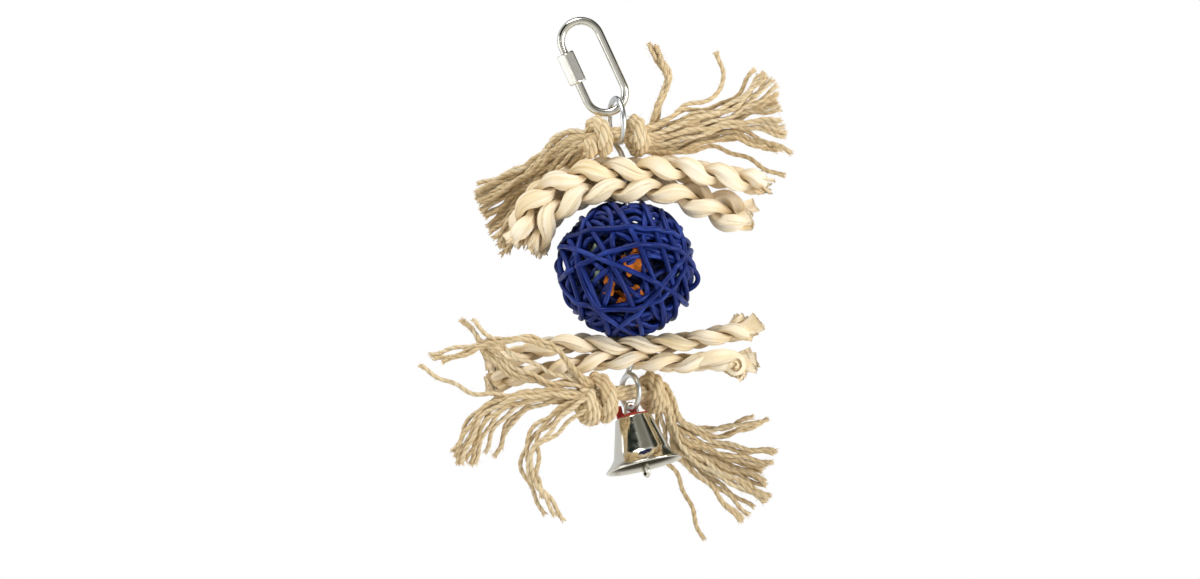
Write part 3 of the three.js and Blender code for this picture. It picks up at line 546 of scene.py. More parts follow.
# A tail is its rope end, the bend and the end of each traced yarn, the first of the two traced yarns that
# each further yarn lies between, and how the traced yarns bow on their way to the bend.
tails = {
    "top_rope_left_tail": (top_left, [
        (-32, 13, 42, -53, 16, 32), (-32, 15, 41, -54, 18, 29), (-32, 12.6, 39, -52, 14, 26),
        (-31, 16, 38, -52, 19, 24), (-31, 14, 36, -51, 15, 21), (-30, 17, 35, -50, 19, 17),
        (-29, 13, 33, -48, 14, 14), (-28, 16, 33, -46, 18, 10), (-27, 14, 31, -44, 15, 8)],
        [0, 1, 2, 3, 4, 5, 6, 7] * 3, (0, 0, 0)),
    "top_rope_right_tail": (top_right, [
        (17.3, 3, 69.7, 11.2, 1, 82.8), (17.8, 5, 67, 14.6, 3.5, 77.5), (37, 4, 65, 36.4, 1, 79),
        (40, 7, 61, 49.5, 8, 72), (42, 2, 59, 53, -2, 69.5), (44, 6, 57, 57.8, 4, 65.6),
        (43, 9, 55, 57, 11, 60), (42, 1, 53, 58.5, -2, 53.4), (40, 7, 50.5, 62.2, 8, 41.4),
        (38, 3, 47.5, 52, 2, 43.5), (34.5, 13, 44, 59.3, 15, 32.5), (18.3, 3.6, 69.4, 12.8, 2, 82),
        (16.5, 4.2, 70, 12.2, 2.6, 80.6), (17.6, 2, 70.3, 13.2, 0, 81.4)],
        [3, 4, 5, 6, 7, 8] * 3, (0, 0, 0)),
    "bottom_rope_left_tail": (bottom_left, [
        (-38, -15, -24, -73, -13, -29), (-45, -17, -25, -68.6, -16, -32.3),
        (-48, -13.5, -35, -60.3, -12, -17.4), (-44, -15, -29.5, -57, -15, -17.5),
        (-57, -14, -44, -77, -12, -33.9), (-56, -13, -50, -66, -12, -65), (-53, -16, -51, -63, -16, -69.4),
        (-50, -14, -53, -58.5, -13, -69.4), (-44, -12, -55, -48.5, -9, -64.7),
        (-33, -15, -57, -35.4, -16, -73), (-41, -13, -68, -33.3, -11, -89.3),
        (-38, -16, -70, -26, -15, -91.4)],
        [0, 2, 2, 5, 5, 5, 6, 6, 7, 7, 9, 10],
        [(-1, -0.6, rise) for rise in (5, 4, -4, -1, 0, 3.4, 3.4, 3.4, 3.4, 2, 2, 2)]),
    "bottom_rope_right_tail": (bottom_right, [
        (28.5, 12, -60.5, 42.6, 10, -58.3), (32, 15, -63, 50.5, 17, -58), (33, 11, -65.5, 53, 10, -69.5),
        (31, 14, -69, 50, 16, -74.4), (29, 17, -71, 47, 20, -77), (29, 12, -74, 50.5, 12, -85.5),
        (26, 15, -76, 44, 18, -90), (25.5, 13, -78, 39, 13, -95), (17, 16, -78.5, 25.2, 17, -101)],
        [0, 2, 3, 4, 4, 5, 5, 6] * 2,
        [(-2, 0, -7), (-2, 0, -7), (-2, 0, -7), (-2, 0, -6.5), (-2, 0, -6), (-2, 1, -5.5), (-1, 2.5, -5),
         (-1, 3.4, -5), (-1, 3, -4.5)]),
}
for node, ((root, away), traced, between, bow) in tails.items():
    traced = np.array(traced, float)
    bow = np.broadcast_to(np.array(bow, float), (len(traced), 3))
    first = np.array(between)
    part = chance.uniform(0.15, 0.85, (len(first), 1))
    further = traced[first] * part + traced[first + 1] * (1 - part) + chance.normal(0, 0.9, (len(first), 6))
    rows = np.vstack([traced, further])
    bow = np.vstack([bow, bow[first] * part + bow[first + 1] * (1 - part)])
    lean = rows[:, :3] - root
    lean = lean - (lean @ away)[:, None] * away
    lean = lean - lean.mean(0)
    feet = foot_spread * lean / np.maximum(np.linalg.norm(lean, axis=1).max(), 6)
    feet = feet + chance.normal(0, 1.0, lean.shape)
    for number, (row, foot, fall) in enumerate(zip(rows, feet, bow)):
        bend, end = row[:3], row[3:]
        bowed = root + 0.4 * (bend - root) + 0.9 * foot + fall
        line = spaced(smooth_line([root - 6 * away + 0.6 * foot, root + foot, bowed, bend, end]), 0.8)
        s = lengths(line)
        _, side, up = frames(line, (0.1, 1, 0.05))
        wave = wave_height * np.clip((s - 6) / 10, 0, 1)[:, None]
        phase = chance.uniform(0, 6, 2)
        sway = np.sin(s / 2.3 + phase[0])[:, None] * side + 0.7 * np.sin(s / 3.1 + phase[1])[:, None] * up
        line = line + wave * sway
        shade = chance.uniform(0.1, 0.9)
        sheets = [twisted_strand(line, (0.1, 1, 0.05), yarn_radius, 2, yarn_pitch, 12, 0.3, shade)]
        sheets += loose_fibres(line, yarn_radius, 16, 1.2, chance)
        sheets += loose_fibres(line[-4:], 0.3 * yarn_radius, 9, 1.5, chance)
        sheets += loose_fibres(line, yarn_radius, 30, 1.3, fuzz_chance)
        sheets += frayed_end(line, yarn_radius, 16, fuzz_chance)
        yarn = piece(f"{node}_yarn_{number + 1:02d}", sheets, jute, "hanger", [node])

# Plaits: three strands of folded corn husk, plaited flat while damp and threaded on the wire. The strands
# swing across as a sine and pass over and under each other at twice the rate.
husk, tree, shader = finish_of("dried_corn_husk", Roughness=0.62, Specular_IOR_Level=0.3, Sheen_Weight=0.12)
# Veins run the length of a leaf, about 0.7 mm apart, over broad paler and yellower stains
_, veins, blend = fibre_pattern(tree, (0.045, 1.5, 5.0, 0.7), (0.07, 0.12, 2.0, 0.5), 0.7)
creams = [(0.48, "#D6B67C"), (0.68, "#EED7A8"), (0.86, "#F7E6C6"), (1.0, "#FDF1DA")]
cream = add_node(tree, "ValToRGB", {"stops": creams}, {"Fac": blend})
# Painted shade: groove darkens the cream to tan where a strand passes under others and under each lip
groove = add_node(tree, "Attribute", {"attribute_name": "groove"}, {}, "Fac")
tan = add_node(tree, "Mix", {"data_type": "RGBA", 7: linear("#A5834B")}, {0: groove, 6: cream}, 2)
raised = add_node(tree, "Bump", {"Strength": 0.5, "Distance": 0.0004}, {"Height": veins})
feed(shader, {"Base Color": tan, "Normal": raised})

# Each plait: its strands' lift, its hand, its phase and twist in degrees, and the x and z of its spine
plait_period, plait_swing, husk_half, upper_thick, lower_thick = 37.5, 5.9, 2.95, 3.5, 2.7
first, second, third, fourth = 36.68, 29.06, -28.07, -33.71
plaits = [
    (2.25, 1, 75, 0, [(-39.5, 11), (-37.6, 20), (-31.6, 28.4), (-20.4, 34.2), (-9, first + 0.2), (0, first),
                      (8, first), (16, 36.9), (29, 34.6), (43.6, 31.6), (52, 29.8)]),
    (2.25, -1, 45, 38, [(-32.6, 7.46), (-28.6, 19.16), (-18.6, 26.46), (-8.5, second + 0.4), (0, second),
                        (7, second + 0.2), (13, 29), (22, 26.6), (34, 22), (45, 17)]),
    (1.7, 1, 45, 0, [(-50, -33), (-36, -29.2), (-28, -27.4), (-19, -26.6), (-9.4, third + 0.2), (0, third),
                     (13, -28), (27, -26.6), (35, -25), (45, -24.6)]),
    (1.7, -1, 105, 0, [(-50.5, -39.4), (-25.7, -36.2), (-11, fourth), (0, fourth), (11, -34.8), (21, -35.4),
                       (31, -35.2), (42, -37.2)]),
]


def strand_line(spine, lift, hand, phase, twist, k):
    """One strand's middle line, its up direction and its angle in the plait: spine + up lift sin(2 turn)
    hand - across swing sin(turn), with turn = 2 pi (s / period + k / 3) + phase counted from the wire."""
    spine = np.array(spine, float)
    middle = smooth_line(np.insert(spine, 1, 0, axis=1), 60)
    to_wire = lengths(middle)[60 * int(np.argmin(np.abs(spine[:, 0])))]
    middle = spaced(middle, 0.4)
    s = lengths(middle)
    turn = 2 * np.pi * ((s - to_wire) / plait_period + k / 3) + math.radians(phase)
    along = unit(np.gradient(middle, axis=0))
    past = np.clip((s - to_wire) / (s[-1] - to_wire), 0, 1)
    lean = (math.radians(twist) * past**2 * (3 - 2 * past))[:, None]
    upright = np.stack([-along[:, 2], np.zeros(len(s)), along[:, 0]], 1)
    up = upright * np.cos(lean) + np.cross(along, upright) * np.sin(lean)
    across = np.cross(up, along)
    place = middle + hand * lift * np.sin(2 * turn)[:, None] * up
    place = place - plait_swing * np.sin(turn)[:, None] * across
    return place, up, turn


def husk_section(turn, half_width, thin, thick, chance):
    """Folded husk: an oval that is thick at the plait's edges and thin where strands cross. Each wrapped leaf
    ends in a lip that stands out and falls away round the strand, and five sharp folds run along it:
    r = 1 + lip + fold."""
    angle = ring_of(60)
    bulge = np.sin(turn)[:, None] ** 2
    wide = half_width * (1.0 + 0.06 * np.sin(1.7 * turn + chance.uniform(0, 6)))[:, None]
    high = thin + (thick - thin) * bulge
    drift = chance.uniform(0, 6) + 0.4 * np.sin(0.8 * turn + chance.uniform(0, 6))[:, None]
    reach = 1 + 0.19 * (0.58 - np.abs(np.cos(2.5 * (angle - drift))))
    groove = np.zeros_like(reach)
    for k in range(3):
        lip = chance.uniform(0, 2 * np.pi) + 0.5 * np.sin(turn * chance.uniform(0.4, 0.9) + k)[:, None]
        fall = np.mod(angle - lip, 2 * np.pi) / (2 * np.pi)
        depth = chance.uniform(0.05, 0.11)
        reach = reach + depth * (np.exp(-5 * fall) - 0.2)
        # A thin line of painted shade runs under each lip's edge
        groove = np.maximum(groove, 0.5 * np.exp(-((1 - fall) * 2 * np.pi / 0.14) ** 2))
    # Painted shade where the strand is thin and passes under the others
    groove = np.maximum(groove, 0.75 * (1 - bulge) ** 2)
    return 0.96 * np.stack([wide * reach * np.cos(angle), high * reach * np.sin(angle)], -1), groove


def husk_blade(root, heading, aside, flat, length, width, flare, chance):
    """A cut leaf end: p(t) = root + length (heading t + aside t^2), with a thin section that widens out of
    the strand, is cupped and pleated across its width and ends in a ragged cut of two sines."""
    t = np.linspace(0, 1, 22)
    line = root + length * (t[:, None] * heading + (t**2)[:, None] * aside)
    angle = ring_of(36)
    across = np.cos(angle)
    wide = width * (0.12 + 0.88 * np.sin(np.minimum(1, 1.3 * t) * np.pi / 2) ** 1.3 + flare * t**3)
    pleat = 0.06 * width * np.sin(chance.uniform(3, 6) * across + chance.uniform(0, 6))
    rise = 0.13 * np.sin(angle) + (0.5 + 0.6 * t[:, None]) * (0.22 * width * across**2 + pleat)
    section = np.stack([wide[:, None] * across, rise], -1)
    # groove darkens the leaf towards its edges and over the last of its length
    groove = 0.3 * np.abs(across) ** 10 + 0.25 * np.clip((t[:, None] - 0.92) / 0.08, 0, 1)
    leaf = tube(line, flat, section, tone=chance.uniform(0, 1), groove=np.broadcast_to(groove, (22, 36)))
    ragged = 0.7 * np.sin(2.2 * across + chance.uniform(0, 6))
    ragged = ragged + 0.22 * np.sin(15 * across + chance.uniform(0, 6))
    leaf["grid"] = leaf["grid"] + (t[:, None] ** 3 * ragged)[..., None] * heading
    return leaf


def rolled_leaf(middle):
    """A leaf that sweeps along the plait's front and rolls up at its end: a spiral, r = 3.9 to 1 mm in 1.5
    turns, round a middle. Its face turns from the front to half outwards as it rolls."""
    angle = np.linspace(math.radians(95), math.radians(95 - 360 * 1.5), 12)
    reach = np.linspace(3.9, 1.0, 12)
    spiral = np.array(middle) + np.stack([reach * np.cos(angle), 0.3 * reach - 1.6, reach * np.sin(angle)], 1)
    sweep = [(20, -4.5, -36.0), (26, -7.4, -34.6), (32, -8.8, -33.2)]
    line = spaced(smooth_line(np.vstack([sweep, spiral])), 0.4)
    s = lengths(line)
    rolled = np.clip((s - 14) / 8, 0, 1)[:, None]
    out = np.stack([-np.gradient(line[:, 2]), np.zeros(len(line)), np.gradient(line[:, 0])], 1)
    face = unit((1 - 0.6 * rolled) * np.array([0, -1, 0.1]) + 0.6 * rolled * unit(out))
    half = (0.6 + 1.9 * np.clip(s / 8, 0, 1) - 1.2 * np.clip((s - 14) / 16, 0, 1))[:, None]
    across = np.cos(ring_of(32))
    section = np.stack([half * across, 0.16 * np.sin(ring_of(32)) + 0.12 * half * across**2], -1)
    # groove darkens the leaf towards its edges
    groove = np.broadcast_to(0.35 * np.abs(across) ** 8, (len(line), 32))
    return tube(line, face, section, tone=0.4, groove=groove)


# Each plait's leaf ends: length, flare, and how many degrees its leaves open upwards, right and left
leaf_ends = [(9.0, 0.05, (-6, 0, 6), (-6, 0, 6)), (9.0, 0.05, (-6, 0, 6), (-6, 0, 6)),
             (14.0, 0.3, (24, 12, 4), (13, 7, 2)), (14.0, 0.3, (4, -2, -9), (-2, -6, -12))]
chance = np.random.default_rng(5)
for number, (lift, hand, phase, twist, spine) in enumerate(plaits):
    name = f"plait_{number + 1}"
    upper = number < 2
    reach, flare, right_fan, left_fan = leaf_ends[number]
    for k, letter in enumerate("abc"):
        line, up, turn = strand_line(spine, lift, hand, phase, twist, k)
        width = unit(np.cross(up, np.gradient(line, axis=0)))
        normal = np.cross(unit(np.gradient(line, axis=0)), width)
        thick = upper_thick if upper else lower_thick
        section, groove = husk_section(turn, husk_half, 0.8 * lift - 0.39, thick, chance)
        near = np.minimum(lengths(line), lengths(line)[::-1])
        section = section * (1 - 0.55 * (1 - np.clip(near / 6, 0, 1)) ** 2)[:, None, None]
        sheets = [tube(line, normal, section, ends=0.5, tone=chance.uniform(0, 1), groove=groove)]
        inset = int(np.searchsorted(lengths(line), reach))
        for at, back, fan in [(-1, -1 - inset, right_fan), (0, inset, left_fan)]:
            heading = unit(line[at] - line[back])
            across = np.array([-heading[2], 0, heading[0]]) * np.sign(heading[0])
            facing = (1.0 if upper else 0.3) * normal[at] + np.array([0, -0.2 if upper else -1, 0])
            for layer, opening in zip((-1, 0, 1), fan):
                flat = unit(facing + 0.25 * chance.normal(size=3))
                flat = unit(flat - (flat @ heading) * heading)
                aside = math.tan(math.radians(opening + 4 * chance.normal())) * across
                aside = aside + chance.uniform(-0.1, 0.14) * flat
                root = line[back] + 0.9 * layer * normal[back]
                length, half = reach * chance.uniform(0.97, 1.12), chance.uniform(2.7, 3.3)
                sheets.append(husk_blade(root, heading, aside, flat, length, half, flare, chance))
        if letter == "a" and number == 3:
            sheets.append(rolled_leaf((38.8, -7.2, -36.9)))
        piece(f"{name}_husk_{letter}", sheets, husk, name, [f"{name}_strand_{letter}"])

# Rattan ball: round core cane, 2 mm thick, dyed blue in the hank and wound wet over a former in four layers,
# each about its own axis. Later canes are tucked under those outside them, and two loops stand proud.
rattan, tree, shader = finish_of("dyed_rattan_core", Specular_IOR_Level=0.4, Specular_Tint=linear("#BFC9FF"))
# Open pores of the core show as lengthwise lines, about 0.4 mm apart, and the dye takes unevenly along it
_, pores, blend = fibre_pattern(tree, (0.1, 2.4, 4.0, 0.6), (0.06, 0.2, 2.0, 0.5), 0.6)
blues = [(0.5, "#030B30"), (0.8, "#0C1F64"), (1.0, "#2E479C")]
blue = add_node(tree, "ValToRGB", {"stops": blues}, {"Fac": blend})
limits = {"From Min": 0.3, "From Max": 0.7, "To Min": 0.36, "To Max": 0.55}
worn = add_node(tree, "MapRange", limits, {"Value": pores})
# Painted shade: the deeper a cane lies inside the ball, the darker its blue; groove says how deep
shaded = add_node(tree, "Attribute", {"attribute_name": "groove"}, {}, "Fac")
blue_with_painted_shade = add_node(tree, "Mix", {"data_type": "RGBA", 7: linear("#040A26")}, {0: shaded, 6: blue}, 2)
raised = add_node(tree, "Bump", {"Strength": 0.35, "Distance": 0.0003}, {"Height": pores})
feed(shader, {"Base Color": blue_with_painted_shade, "Roughness": worn, "Normal": raised})

layer_axes = np.array([[0.9, 0.1, 0.4], [-0.55, 0.45, 0.6], [0.5, -0.7, 0.4], [0.4, 0.2, 0.9]])
ball_radius, layer_step, layer_turns, end_gap = 25.0, 2.4, 6, 3
cane_radius, cap, tilt = 1.0, math.radians(27), math.radians(6.5)
over_radius, over_rise, tuck_depth, inner_count = 24.8, 1.2, 1.95, 26


def cane_line(layer, cane, start, steps):
    """Two of a layer's six turns on its sphere: round goes six times about the axis, and the polar angle goes
    from cap to cap while it leans to and fro, so turns of a layer never cross."""
    axis = unit(layer_axes[layer])
    first_side = unit(np.cross(axis, (0, 0, 1)))
    second_side = np.cross(axis, first_side)
    radius = ball_radius - layer_step * layer
    gap = end_gap / (2 * np.pi * radius * layer_turns)
    share = np.linspace(cane / 3 + gap / 2, (cane + 1) / 3 - gap / 2, steps)
    turn = 2 * np.pi * layer_turns * share + start
    polar = cap + (np.pi - 2 * cap) * share + tilt * np.cos(turn - 2.4 * np.pi * share - layer)
    flat = np.cos(turn)[:, None] * first_side + np.sin(turn)[:, None] * second_side
    return radius * (np.cos(polar)[:, None] * axis + np.sin(polar)[:, None] * flat)


def cane_tube(line, aim, section, inside):
    """One cane along a line, with rounded ends, its own tone and inside, its depth of painted shade."""
    return tube(line, aim, section, ends=0.35, tone=chance.uniform(0, 1), groove=inside)


chance = np.random.default_rng(3)
outer = []
# inside is how much painted shade a layer's canes get: more for the deeper layers
for layer, inside in enumerate((0, 0.15, 0.45, 0.65)):
    starts = np.radians(np.arange(0, 360, 4))
    rooms = []
    for start in starts:
        canes = np.vstack([cane_line(layer, cane, start, 41) for cane in range(3)])
        rooms.append(np.hypot(canes[:, 0], canes[:, 1]).min())
    start = starts[int(np.argmax(np.round(rooms, 9)))]
    for cane in range(3):
        line = cane_line(layer, cane, start, 150)
        number = 3 * layer + cane + 1
        wander = 0.12 * np.sin(lengths(line) / 5 + number)[:, None]
        swell = 1 + 0.05 * np.sin(lengths(line) / 7 + number)
        section = swell[:, None, None] * round_section(cane_radius, 12)
        cane_sheet = cane_tube(line + wander * unit(line), unit(line), section, inside)
        piece(f"cane_{number:02d}", [cane_sheet], rattan, "ball", [f"ball_cane_{number:02d}"])
        if layer == 0:
            outer.append(unit(line))

# Each tucked cane is a circle about its axis at a height over the centre: axis x, y, z, then the height in mm
tucked = [(0.2, 0.5, 0.85, 3), (-0.45, -0.3, 0.84, -5), (0.95, -0.3, 0.1, 13), (-0.9, -0.4, 0.15, 14),
          (0.1, 0.97, 0.2, 12), (0.05, -0.95, -0.3, 11), (0.5, 0.1, 0.86, 9), (-0.3, 0.5, 0.81, -11),
          (0.7, -0.7, 0.1, -15), (0.62, -0.1, 0.78, -4), (0.12, 0.2, 0.97, 18), (-0.2, 0.1, 0.97, 21),
          (0.1, -0.15, 0.98, -18.5), (-0.15, 0.1, 0.98, -21.5), (0.3, 0.1, 0.95, 15),
          (-0.25, -0.2, 0.95, -15.5)]
# Each outermost cane goes round the ball through three places seen from the front, as x and z in mm
wound_over = [((-17.8, 2.7), (8.2, 6.8), (22.6, 4.1)), ((-1.4, -20.5), (9.6, -8.2), (19.2, 1.4)),
              ((-16.4, 8.2), (-13.7, -8.2), (-5.5, -20.9)), ((-23.6, -6.2), (-10.7, -15.4), (16.4, -5.5)),
              ((-9.6, 3.4), (9.6, -5.5), (20.5, -11.0)), ((-20.0, 12.0), (-3.0, 15.5), (17.0, 13.0))]
# Each loose loop stands proud of the ball's side: x, y, z of its top and of the direction that it runs in
loops = [((-25.7, 1, 2.6), (0.25, 0.6, 0.75)), ((26.2, 1, -5), (0.2, -0.5, 0.84))]


def circle_aims(axis, height, radius, chance):
    """Directions from the centre to a cane that goes once round an axis, at a height, and wavers a little."""
    axis = unit(np.asarray(axis, float))
    first_side = unit(np.cross(axis, (0.3, 0.2, 1)))
    turn = np.linspace(0.02, 2 * np.pi - 0.06, 190) + chance.uniform(0, 6)
    waver = 0.05 * np.sin(2 * turn + chance.uniform(0, 6))
    polar = math.acos(height / radius) + waver + 0.025 * np.sin(3 * turn)
    flat = np.cos(turn)[:, None] * first_side + np.sin(turn)[:, None] * np.cross(axis, first_side)
    return np.cos(polar)[:, None] * axis + np.sin(polar)[:, None] * flat


def cane_piece(name, aim, radius, inside=0.0):
    """Makes one cane along its directions, at its distance from the centre."""
    line = np.broadcast_to(radius, len(aim))[:, None] * aim
    piece(name, [cane_tube(line, aim, round_section(cane_radius, 12), inside)], rattan, "ball")


def crossing_share(aim, others, width):
    """How near a cane comes to others at each of its points: exp(-(distance / width)^2)."""
    distance = ball_radius * np.arccos(np.clip(aim @ np.vstack(others).T, -1, 1)).min(1)
    return np.exp(-((distance / width) ** 2))


over = []
for number, places in enumerate(wound_over):
    front = np.array([(x, -math.sqrt(max(ball_radius**2 - x * x - z * z, 1)), z) for x, z in places])
    axis = unit(np.cross(front[1] - front[0], front[2] - front[0]))
    aim = circle_aims(axis, float(np.clip(front[0] @ axis, -20, 20)), ball_radius, chance)
    off_poles = np.clip((20.5 - ball_radius * np.abs(aim[:, 2])) / 4, 0, 1)
    radius = over_radius + over_rise * crossing_share(aim, outer, 3.2) * off_poles
    over.append(aim)
    cane_piece(f"outermost_cane_{number + 1:02d}", aim, radius)
outer += over
for number, (x, y, z, height) in enumerate(tucked):
    aim = circle_aims((x, y, z), height, ball_radius, chance)
    radius = ball_radius - tuck_depth * crossing_share(aim, outer, 2.7)
    outer.append(aim)
    cane_piece(f"tucked_cane_{number + 1:02d}", aim, radius)
for number, (top, along) in enumerate(loops):
    sweep = np.linspace(-1, 1, 60)[:, None]
    bowed = np.array(top) * (1 - 0.24 * sweep**2) + 7 * sweep * unit(np.array(along))
    cane_piece(f"loose_loop_{number + 1}", unit(bowed), np.linalg.norm(bowed, axis=1))
# Inner canes fill the dark middle: each is a circle drawn by chance, kept if it is clear of the wire
inner = 0
while inner < inner_count:
    radius = chance.uniform(12.5, 16)
    aim = circle_aims(chance.normal(size=3), radius * chance.uniform(-0.6, 0.6), radius, chance)
    if radius * np.hypot(aim[:, 0], aim[:, 1]).min() > wire_radius + cane_radius + 0.6:
        inner += 1
        # The inner canes get strong painted shade
        cane_piece(f"inner_cane_{inner:02d}", aim, radius, 0.85)

# Paper filling: strips of crinkled tissue pushed into the ball, four orange and two grey-green, and torn bits
# that have worked their way out between the canes.
papers = {}
for name, slot_name, pale, deep in [("orange_tissue", "orange_paper", "#F0913C", "#B4560F"),
                                    ("grey_green_tissue", "green_paper", "#B4C2AC", "#74866F")]:
    papers[slot_name], tree, shader = finish_of(name, Roughness=0.88, Specular_IOR_Level=0.15)
    spot = add_node(tree, "TexCoord", {}, {}, "Object")
    # Fibres and creases of thin dyed paper: mottled at about 1.5 mm, creased at about 0.8 mm
    mottle = add_node(tree, "TexNoise", {"Scale": 650.0, "Detail": 5.0, "Roughness": 0.7}, {"Vector": spot})
    cells = {"feature": "DISTANCE_TO_EDGE", "Scale": 1200.0}
    crease = add_node(tree, "TexVoronoi", cells, {"Vector": spot}, "Distance")
    tint = add_node(tree, "Mix", {"data_type": "RGBA", 6: linear(deep), 7: linear(pale)}, {0: mottle}, 2)
    raised = add_node(tree, "Bump", {"Strength": 0.8, "Distance": 0.0005}, {"Height": crease})
    feed(shader, {"Base Color": tint, "Normal": raised})

pleat_length, strip_reach, strip_width, strip_depth, bit_depth = 3.2, 16.4, 4.4, 2.6, 2.0


def crinkled_strip(aim, roll, pleats, reach, width, depth, chance):
    """A pleated band on a sphere inside the canes: radius falls by a rounded zigzag along it, and each crease
    slants."""
    outward = unit(np.array(aim, float))
    long = unit(np.cross((0, 0, 1), outward))
    long = long * math.cos(math.radians(roll)) + np.cross(outward, long) * math.sin(math.radians(roll))
    broad = np.cross(long, outward)
    share = np.linspace(-0.5, 0.5, 14 * pleats)[:, None]
    angle = ring_of(20)
    flat = np.clip(1.25 * np.cos(angle), -1, 1)
    crease = share * pleats + 0.35 * flat * chance.uniform(-1, 1) + 0.12 * np.sin(5 * share + 3 * flat)
    zigzag = np.arcsin(0.94 * np.sin(2 * np.pi * crease / 2 + chance.uniform(0, 6))) / np.pi + 0.5
    radius = reach - depth * zigzag - 0.4 * (1 + np.sin(4 * flat + 9 * share)) / 2 - 0.15 * np.sin(angle)
    place = share * pleats * pleat_length / reach
    ragged = (1 + 0.12 * np.sin(17 * share + 2)) * flat * width / 2
    radius = np.sqrt(np.maximum(radius**2 - ragged**2, 1))
    grid = ((radius * np.sin(place))[..., None] * long + (radius * np.cos(place))[..., None] * outward
            + ragged[..., None] * broad)
    return {"grid": grid, "along": share * pleats * pleat_length, "around": np.linspace(0, 2 * width, 21),
            "tone": chance.uniform(0, 1)}


# Each strip: its pleats, the direction that it lies in, its roll in degrees and its paper
orange, green = "orange_paper", "green_paper"
strips = [(6, (0.2, -0.95, 0.2), 20, orange), (5, (-0.3, -0.7, -0.65), 150, orange),
          (5, (0.75, -0.4, -0.5), 60, orange), (5, (-0.85, -0.4, 0.2), 80, green),
          (5, (0.6, 0.6, 0.5), 30, green), (5, (-0.5, 0.7, -0.5), 140, orange)]
for number, (pleats, aim, roll, slot_name) in enumerate(strips):
    strip = crinkled_strip(aim, roll, pleats, strip_reach, strip_width, strip_depth, chance)
    piece(f"tissue_strip_{number + 1}", [strip], papers[slot_name], "ball",
          [f"paper_strip_{number + 1}"])
# Each torn bit shows at the front: x and z in mm, its roll, pleats, width, distance from the centre and paper
bits = [(3.6, 2.2, 15, 3, 7.6, 24.3, orange), (-6.8, -5.0, 75, 3, 4.0, 24.2, orange),
        (2.6, -9.8, 30, 2, 5.2, 23.9, orange), (-2.4, -12.8, 60, 1, 3.0, 23.6, orange),
        (7.0, -11.3, 40, 1, 2.2, 23.6, orange), (16.2, -4.7, 80, 1, 2.4, 23.6, orange),
        (3.9, 7.8, 70, 1, 2.0, 23.8, orange), (-4.4, 1.6, 110, 1, 1.8, 23.8, orange),
        (0.8, -18.2, 10, 1, 2.6, 23.4, orange), (2.0, -21.4, 0, 2, 2.6, 23.6, orange),
        (-11.7, -2.0, 65, 2, 2.6, 23.8, green), (-20.7, -5.1, 85, 1, 2.4, 23.6, green),
        (-12.3, 8.2, 40, 1, 2.4, 23.4, green), (-4.0, 16.0, 20, 1, 2.4, 23.0, green),
        (20.5, -2.0, 75, 1, 2.2, 23.0, green)]
for number, (x, z, roll, pleats, width, reach, slot_name) in enumerate(bits):
    aim = (x, -math.sqrt(reach**2 - x * x - z * z), z)
    bit = crinkled_strip(aim, roll, pleats, reach, width, bit_depth, chance)
    piece(f"tissue_bit_{number + 1:02d}", [bit], papers[slot_name], "ball")

# Bell: a cup spun from thin steel and nickel-plated, with a flat crown, a sharp shoulder, a straight cone and
# a flared mouth with a rolled edge. A wire staple through the crown hangs it on the lower ring.
bell_place = bottom_ring_centre + np.array([0, 0, -bottom_ring_radius])
lean_near, lean_right = math.radians(-8), math.radians(-12)
bell_turn = turn_about(0, lean_near) @ turn_about(1, lean_right) @ turn_about(2, bottom_ring_turn)


def on_bell(local):
    """Turns places of the upright bell, about the point that it hangs from, by its lean."""
    return bell_place + np.asarray(local, float) @ bell_turn.T


def bent(centre, radius, start, end, count):
    """Radius and height of points on an arc of the bell's profile, between two angles in degrees."""
    angle = np.radians(np.linspace(start, end, count))[:, None]
    return np.array(centre) + radius * np.hstack([np.cos(angle), np.sin(angle)])


crown_top, bell_height, crown, mouth, wall, shoulder, sides = -2.9, 19.0, 6.85, 14.5, 0.7, 0.7, 120
mouth_edge = crown_top - bell_height
flare_top, flare_radius = mouth_edge + 0.26 * bell_height, crown + 0.5 * (mouth - crown)
cone_out = np.linspace([crown, crown_top - shoulder], [flare_radius, flare_top], 14)
flare = np.linspace(0, 1, 16)[:, None]
flare_out = np.hstack([flare_radius + (mouth - flare_radius) * (0.72 * flare + 0.28 * flare**2.2),
                       flare_top + (mouth_edge + 0.8 - flare_top) * flare])
rolled = bent([mouth - 0.35, mouth_edge + 0.5], 0.5, 60, -150, 10)
rounded = bent([crown - shoulder, crown_top - shoulder], shoulder, 90, 10, 7)
top = [[0.3, crown_top], [2.5, crown_top], [crown - 1.2, crown_top]]
outside = np.vstack([top, rounded, cone_out[1:], flare_out[1:], rolled])
inside = np.vstack([flare_out[-2::-1], cone_out[-2::-1]]) - np.array([wall, 0])
ceiling = [[crown - wall - 0.8, crown_top - wall], [0.3, crown_top - wall]]
profile = np.vstack([outside, inside[inside[:, 1] < crown_top - wall - 0.6], ceiling])
turn = ring_of(sides)
reach, height = profile[:, :1], np.repeat(profile[:, 1:], sides, 1)
cup = np.stack([reach * np.cos(turn), reach * np.sin(turn), height], -1)
along = lengths(np.hstack([profile, np.zeros((len(profile), 1))]))
# Painted shade: past the lip the inside of the cup is darkened, and dulled, through groove
past_lip = along[:, None] - along[len(outside) - 1]
dull = np.broadcast_to(np.clip((past_lip - 0.4) / 1.6, 0, 1), (len(profile), sides))
cup = {"grid": on_bell(cup), "along": along, "around": np.linspace(0, 90, sides + 1), "groove": dull}
piece("bell_shell", [cup], nickel, "bell", ["bell_cup"])

